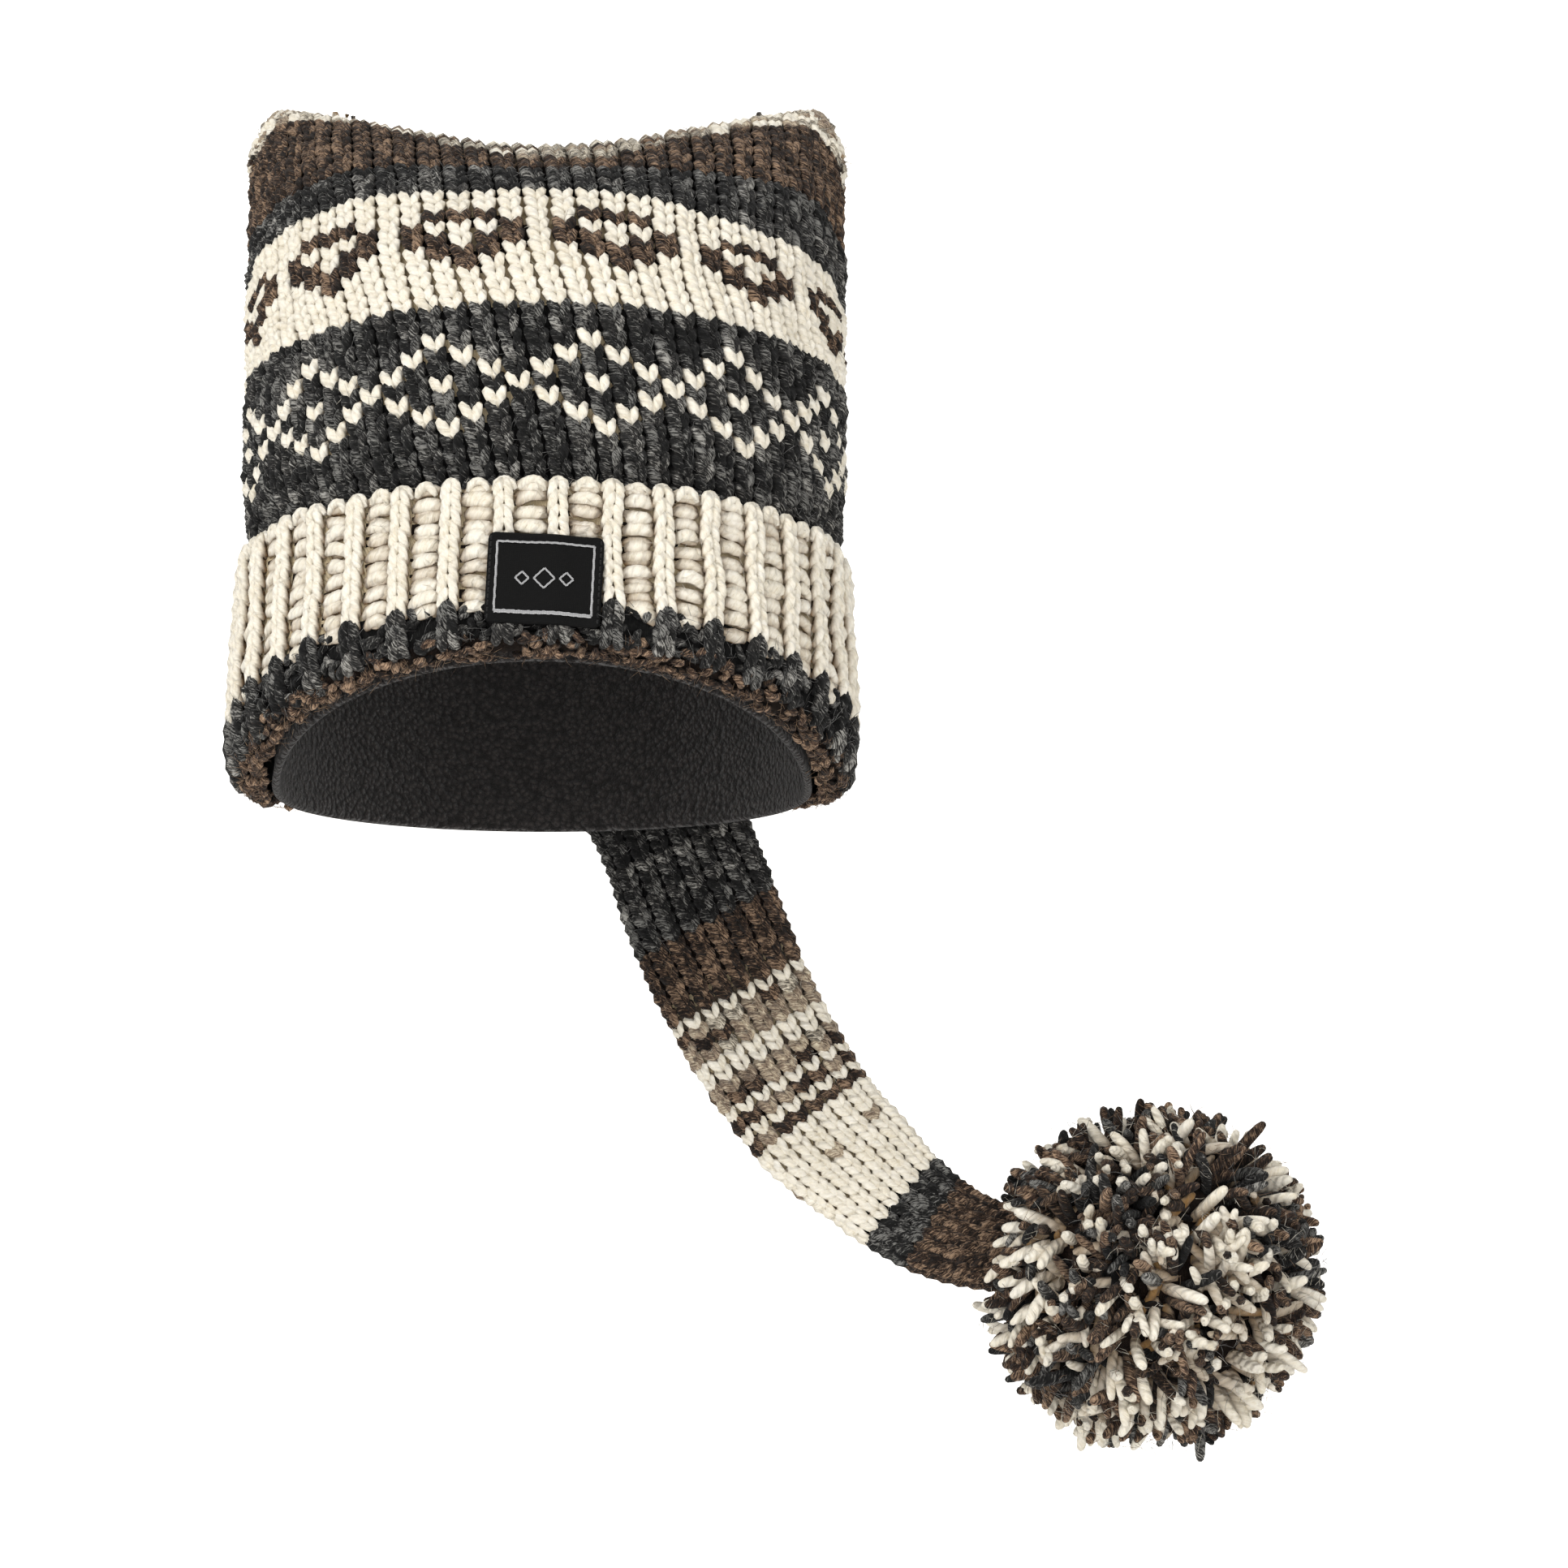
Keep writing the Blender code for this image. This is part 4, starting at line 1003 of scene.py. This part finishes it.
def addFuzz(store, point, normal, length, finish, stand=0.6):
    count = len(point)
    lie = draw.normal(0, 1, (count, 3))
    lie = unit(lie - normal * (lie * normal).sum(1, keepdims=True))
    curl = draw.normal(0, 1, (count, 3))
    t = np.array([0.0, 0.5, 1.0])
    reach = length * draw.uniform(0.5, 1.3, count)
    rise = draw.uniform(0.05, 1.0, count) ** 2 * stand
    way = unit(lie + normal * rise[:, None])
    path = point[:, None] + way[:, None] * (reach[:, None] * t)[..., None]
    path = path + unit(curl)[:, None] * (reach[:, None] * 0.4 * t**2)[..., None]
    thin = np.broadcast_to(np.array([0.00009, 0.00008, 0.00004]), (count, 3))
    hair = np.where(draw.uniform(0, 1, count) < 0.75, hairOf[finish], finish)
    addTubes(store, path, np.broadcast_to(normal[:, None], path.shape), thin, thin, hair, sides=3, rise=0.002)


fuzz = {
    "crown": {"count": 7000, "sink": 0.0004, "length": 0.0042, "ecruShare": 0.20, "slot": "crown_wool"},
    "cuff": {"count": 4200, "sink": 0.0006, "length": 0.0040, "ecruShare": 0.22, "slot": "cuff_wool"},
    "tail": {"count": 4400, "sink": 0.0004, "length": 0.0036, "ecruShare": 0.20, "slot": "tail_wool"},
    "pompom": {"count": 2200, "sink": 0.0, "length": 0.0050, "ecruShare": None, "slot": "pompom_yarn"},
}


def fibresOn(name, point, normal, finish, keep, stand=0.6):
    setting = fuzz[name]
    if setting["ecruShare"] is not None:
        keep = keep & ((finish != ecru) | (draw.uniform(0, 1, len(finish)) < setting["ecruShare"]))
    store = newStore()
    addFuzz(store, point[keep] - normal[keep] * setting["sink"], normal[keep], setting["length"], finish[keep], stand)
    return makeMesh(name + "Fibres", store, wools), setting["slot"]


def makeFuzz():
    count = fuzz["crown"]["count"]
    column, row = draw.uniform(0, 72, count), draw.uniform(0, 41, count)
    point, normal = surfaceFrame(crownSurface, column, row)
    keep = ~tailCovers(point) & (np.linalg.norm(normal, axis=1) > 0.5)
    pieces = [fibresOn("crown", point, normal, crownWool(column + 0.5, row, point[:, 0]), keep)]
    count = fuzz["cuff"]["count"]
    column, row = draw.uniform(0, cuff["ribs"], count), draw.uniform(0, 14.8, count)
    point, normal = surfaceFrame(cuffSurface, column, -row)
    pieces.append(fibresOn("cuff", point, normal, cuffWool(row), np.full(count, True)))
    count = fuzz["tail"]["count"]
    share = draw.uniform(0, 1, count)
    along = draw.uniform(0.0, float(tailAlong[-1]) - 0.004, count)
    point, normal = surfaceFrame(lambda a, u: tailPoint(a, -u), share, -along, 0.002)
    fromTop = np.minimum((along / tail["rowPitch"]).astype(int), tailRowCount - 1)
    finish = tailFinish[tailRowCount - 1 - fromTop]
    keep = (along > freeFrom) | (np.abs(share - 0.5) < 0.27)
    pieces.append(fibresOn("tail", point, normal, finish, keep))
    count = fuzz["pompom"]["count"]
    pick = draw.integers(0, len(strandWay), count)
    point = pompomCentre + strandWay[pick] * (strandReach[pick] * draw.uniform(0.88, 0.98, count))[:, None]
    pieces.append(fibresOn("pompom", point, strandWay[pick], strandFinish[pick], np.full(count, True), 1.2))
    return pieces


fuzzPieces = makeFuzz()
print("fibres done")

for piece in crownPieces:
    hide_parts("crown")
for piece in tailPieces:
    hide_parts("tail")
for piece, node, slotName in ((cuffPiece, "cuff", "cuff_wool"), (liningPiece, "lining", "fleece"),
                              (labelPiece, "label", "label_satin"), (pompomPiece, "pompom", "pompom_yarn")):
    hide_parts(node)
for piece in [*crownPieces, *tailPieces, cuffPiece, liningPiece, labelPiece, pompomPiece, *[p for p, _ in fuzzPieces]]:
    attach(piece, "root")


def makeStage():
    floorLevel, wallPlace, bend = -1.58, 5.2, 1.6
    line = [(-9.0, floorLevel)]
    for step in range(17):
        turn = math.pi / 2 * step / 16
        line.append((wallPlace - bend + bend * math.sin(turn), floorLevel + bend - bend * math.cos(turn)))
    line.append((wallPlace, 8.0))
    points = [(x, y, z) for y, z in line for x in (-12.0, 12.0)]
    faces = [(2 * i, 2 * i + 1, 2 * i + 3, 2 * i + 2) for i in range(len(line) - 1)]
    mesh = bpy.data.meshes.new("paleSweep")
    mesh.from_pydata(points, [], faces)
    mesh.shade_smooth()
    sweep = bpy.data.objects.new("paleSweep", mesh)
    bpy.context.scene.collection.objects.link(sweep)
    # seamless background paper: matt, very slightly uneven
    paper, tree, shader = newMaterial("seamless background paper")
    where = addNode(tree, "ShaderNodeTexCoord")
    mottle = addNode(tree, "ShaderNodeTexNoise", {"Scale": 1.5, "Detail": 1.0}, {"Vector": where.outputs["Object"]})
    colour = addRamp(tree, mottle.outputs["Fac"], ((0.2, "#f1f0ee"), (0.8, "#f6f5f3")))
    tree.links.new(colour, shader.inputs["Base Color"])
    setShader(shader, 0.9, specular=0.5)
    mesh.materials.append(paper)


def addLight(name, place, target, size, power):
    data = bpy.data.lights.new(name, "AREA")
    data.shape = "DISK"
    data.size = size
    data.energy = power
    light = bpy.data.objects.new(name, data)
    light.location = place
    light.rotation_euler = (Vector(target) - Vector(place)).to_track_quat("-Z", "Y").to_euler()
    bpy.context.scene.collection.objects.link(light)


camera = {"elevation": math.radians(17.5), "distance": 3.2, "target": (0.0799, 0.0, -0.2067), "span": 0.518}


def makeCamera():
    data = bpy.data.cameras.new("camera")
    data.sensor_width = 36
    data.lens = 36 * camera["distance"] / camera["span"]
    data.clip_end = 60
    item = bpy.data.objects.new("camera", data)
    forward = Vector((0, math.cos(camera["elevation"]), math.sin(camera["elevation"])))
    item.location = Vector(camera["target"]) - forward * camera["distance"]
    item.rotation_euler = forward.to_track_quat("-Z", "Y").to_euler()
    bpy.context.scene.collection.objects.link(item)
    bpy.context.scene.camera = item


makeStage()
makeCamera()
for settings in (  # name, place, target, size in metres and power in watts
        ("keyLight", (-1.9, -2.4, 1.3), (0, 0, -0.1), 1.6, 62),
        ("fillLight", (2.3, -2.2, 0.1), (0.05, 0, -0.2), 2.2, 16),
        ("lowLight", (0.1, -1.9, -1.3), (0.05, 0, -0.15), 1.2, 16),
        ("backLight", (0.6, 2.4, 1.6), (0, 0, -0.1), 1.6, 24),
        ("sweepLight", (0.2, 1.6, 2.2), (0, 5.2, 1.2), 3.0, 150)):
    addLight(*settings)
world = bpy.data.worlds.new("studio")
world.use_nodes = True
sky = world.node_tree.nodes["Background"].inputs
sky["Color"].default_value = (1.0, 0.99, 0.975, 1.0)
sky["Strength"].default_value = 0.72
bpy.context.scene.world = world
bpy.context.scene.view_settings.view_transform = "Standard"
print("stage done")


def corners(bounds):
    return [[float(value) for value in corner] for corner in bounds]
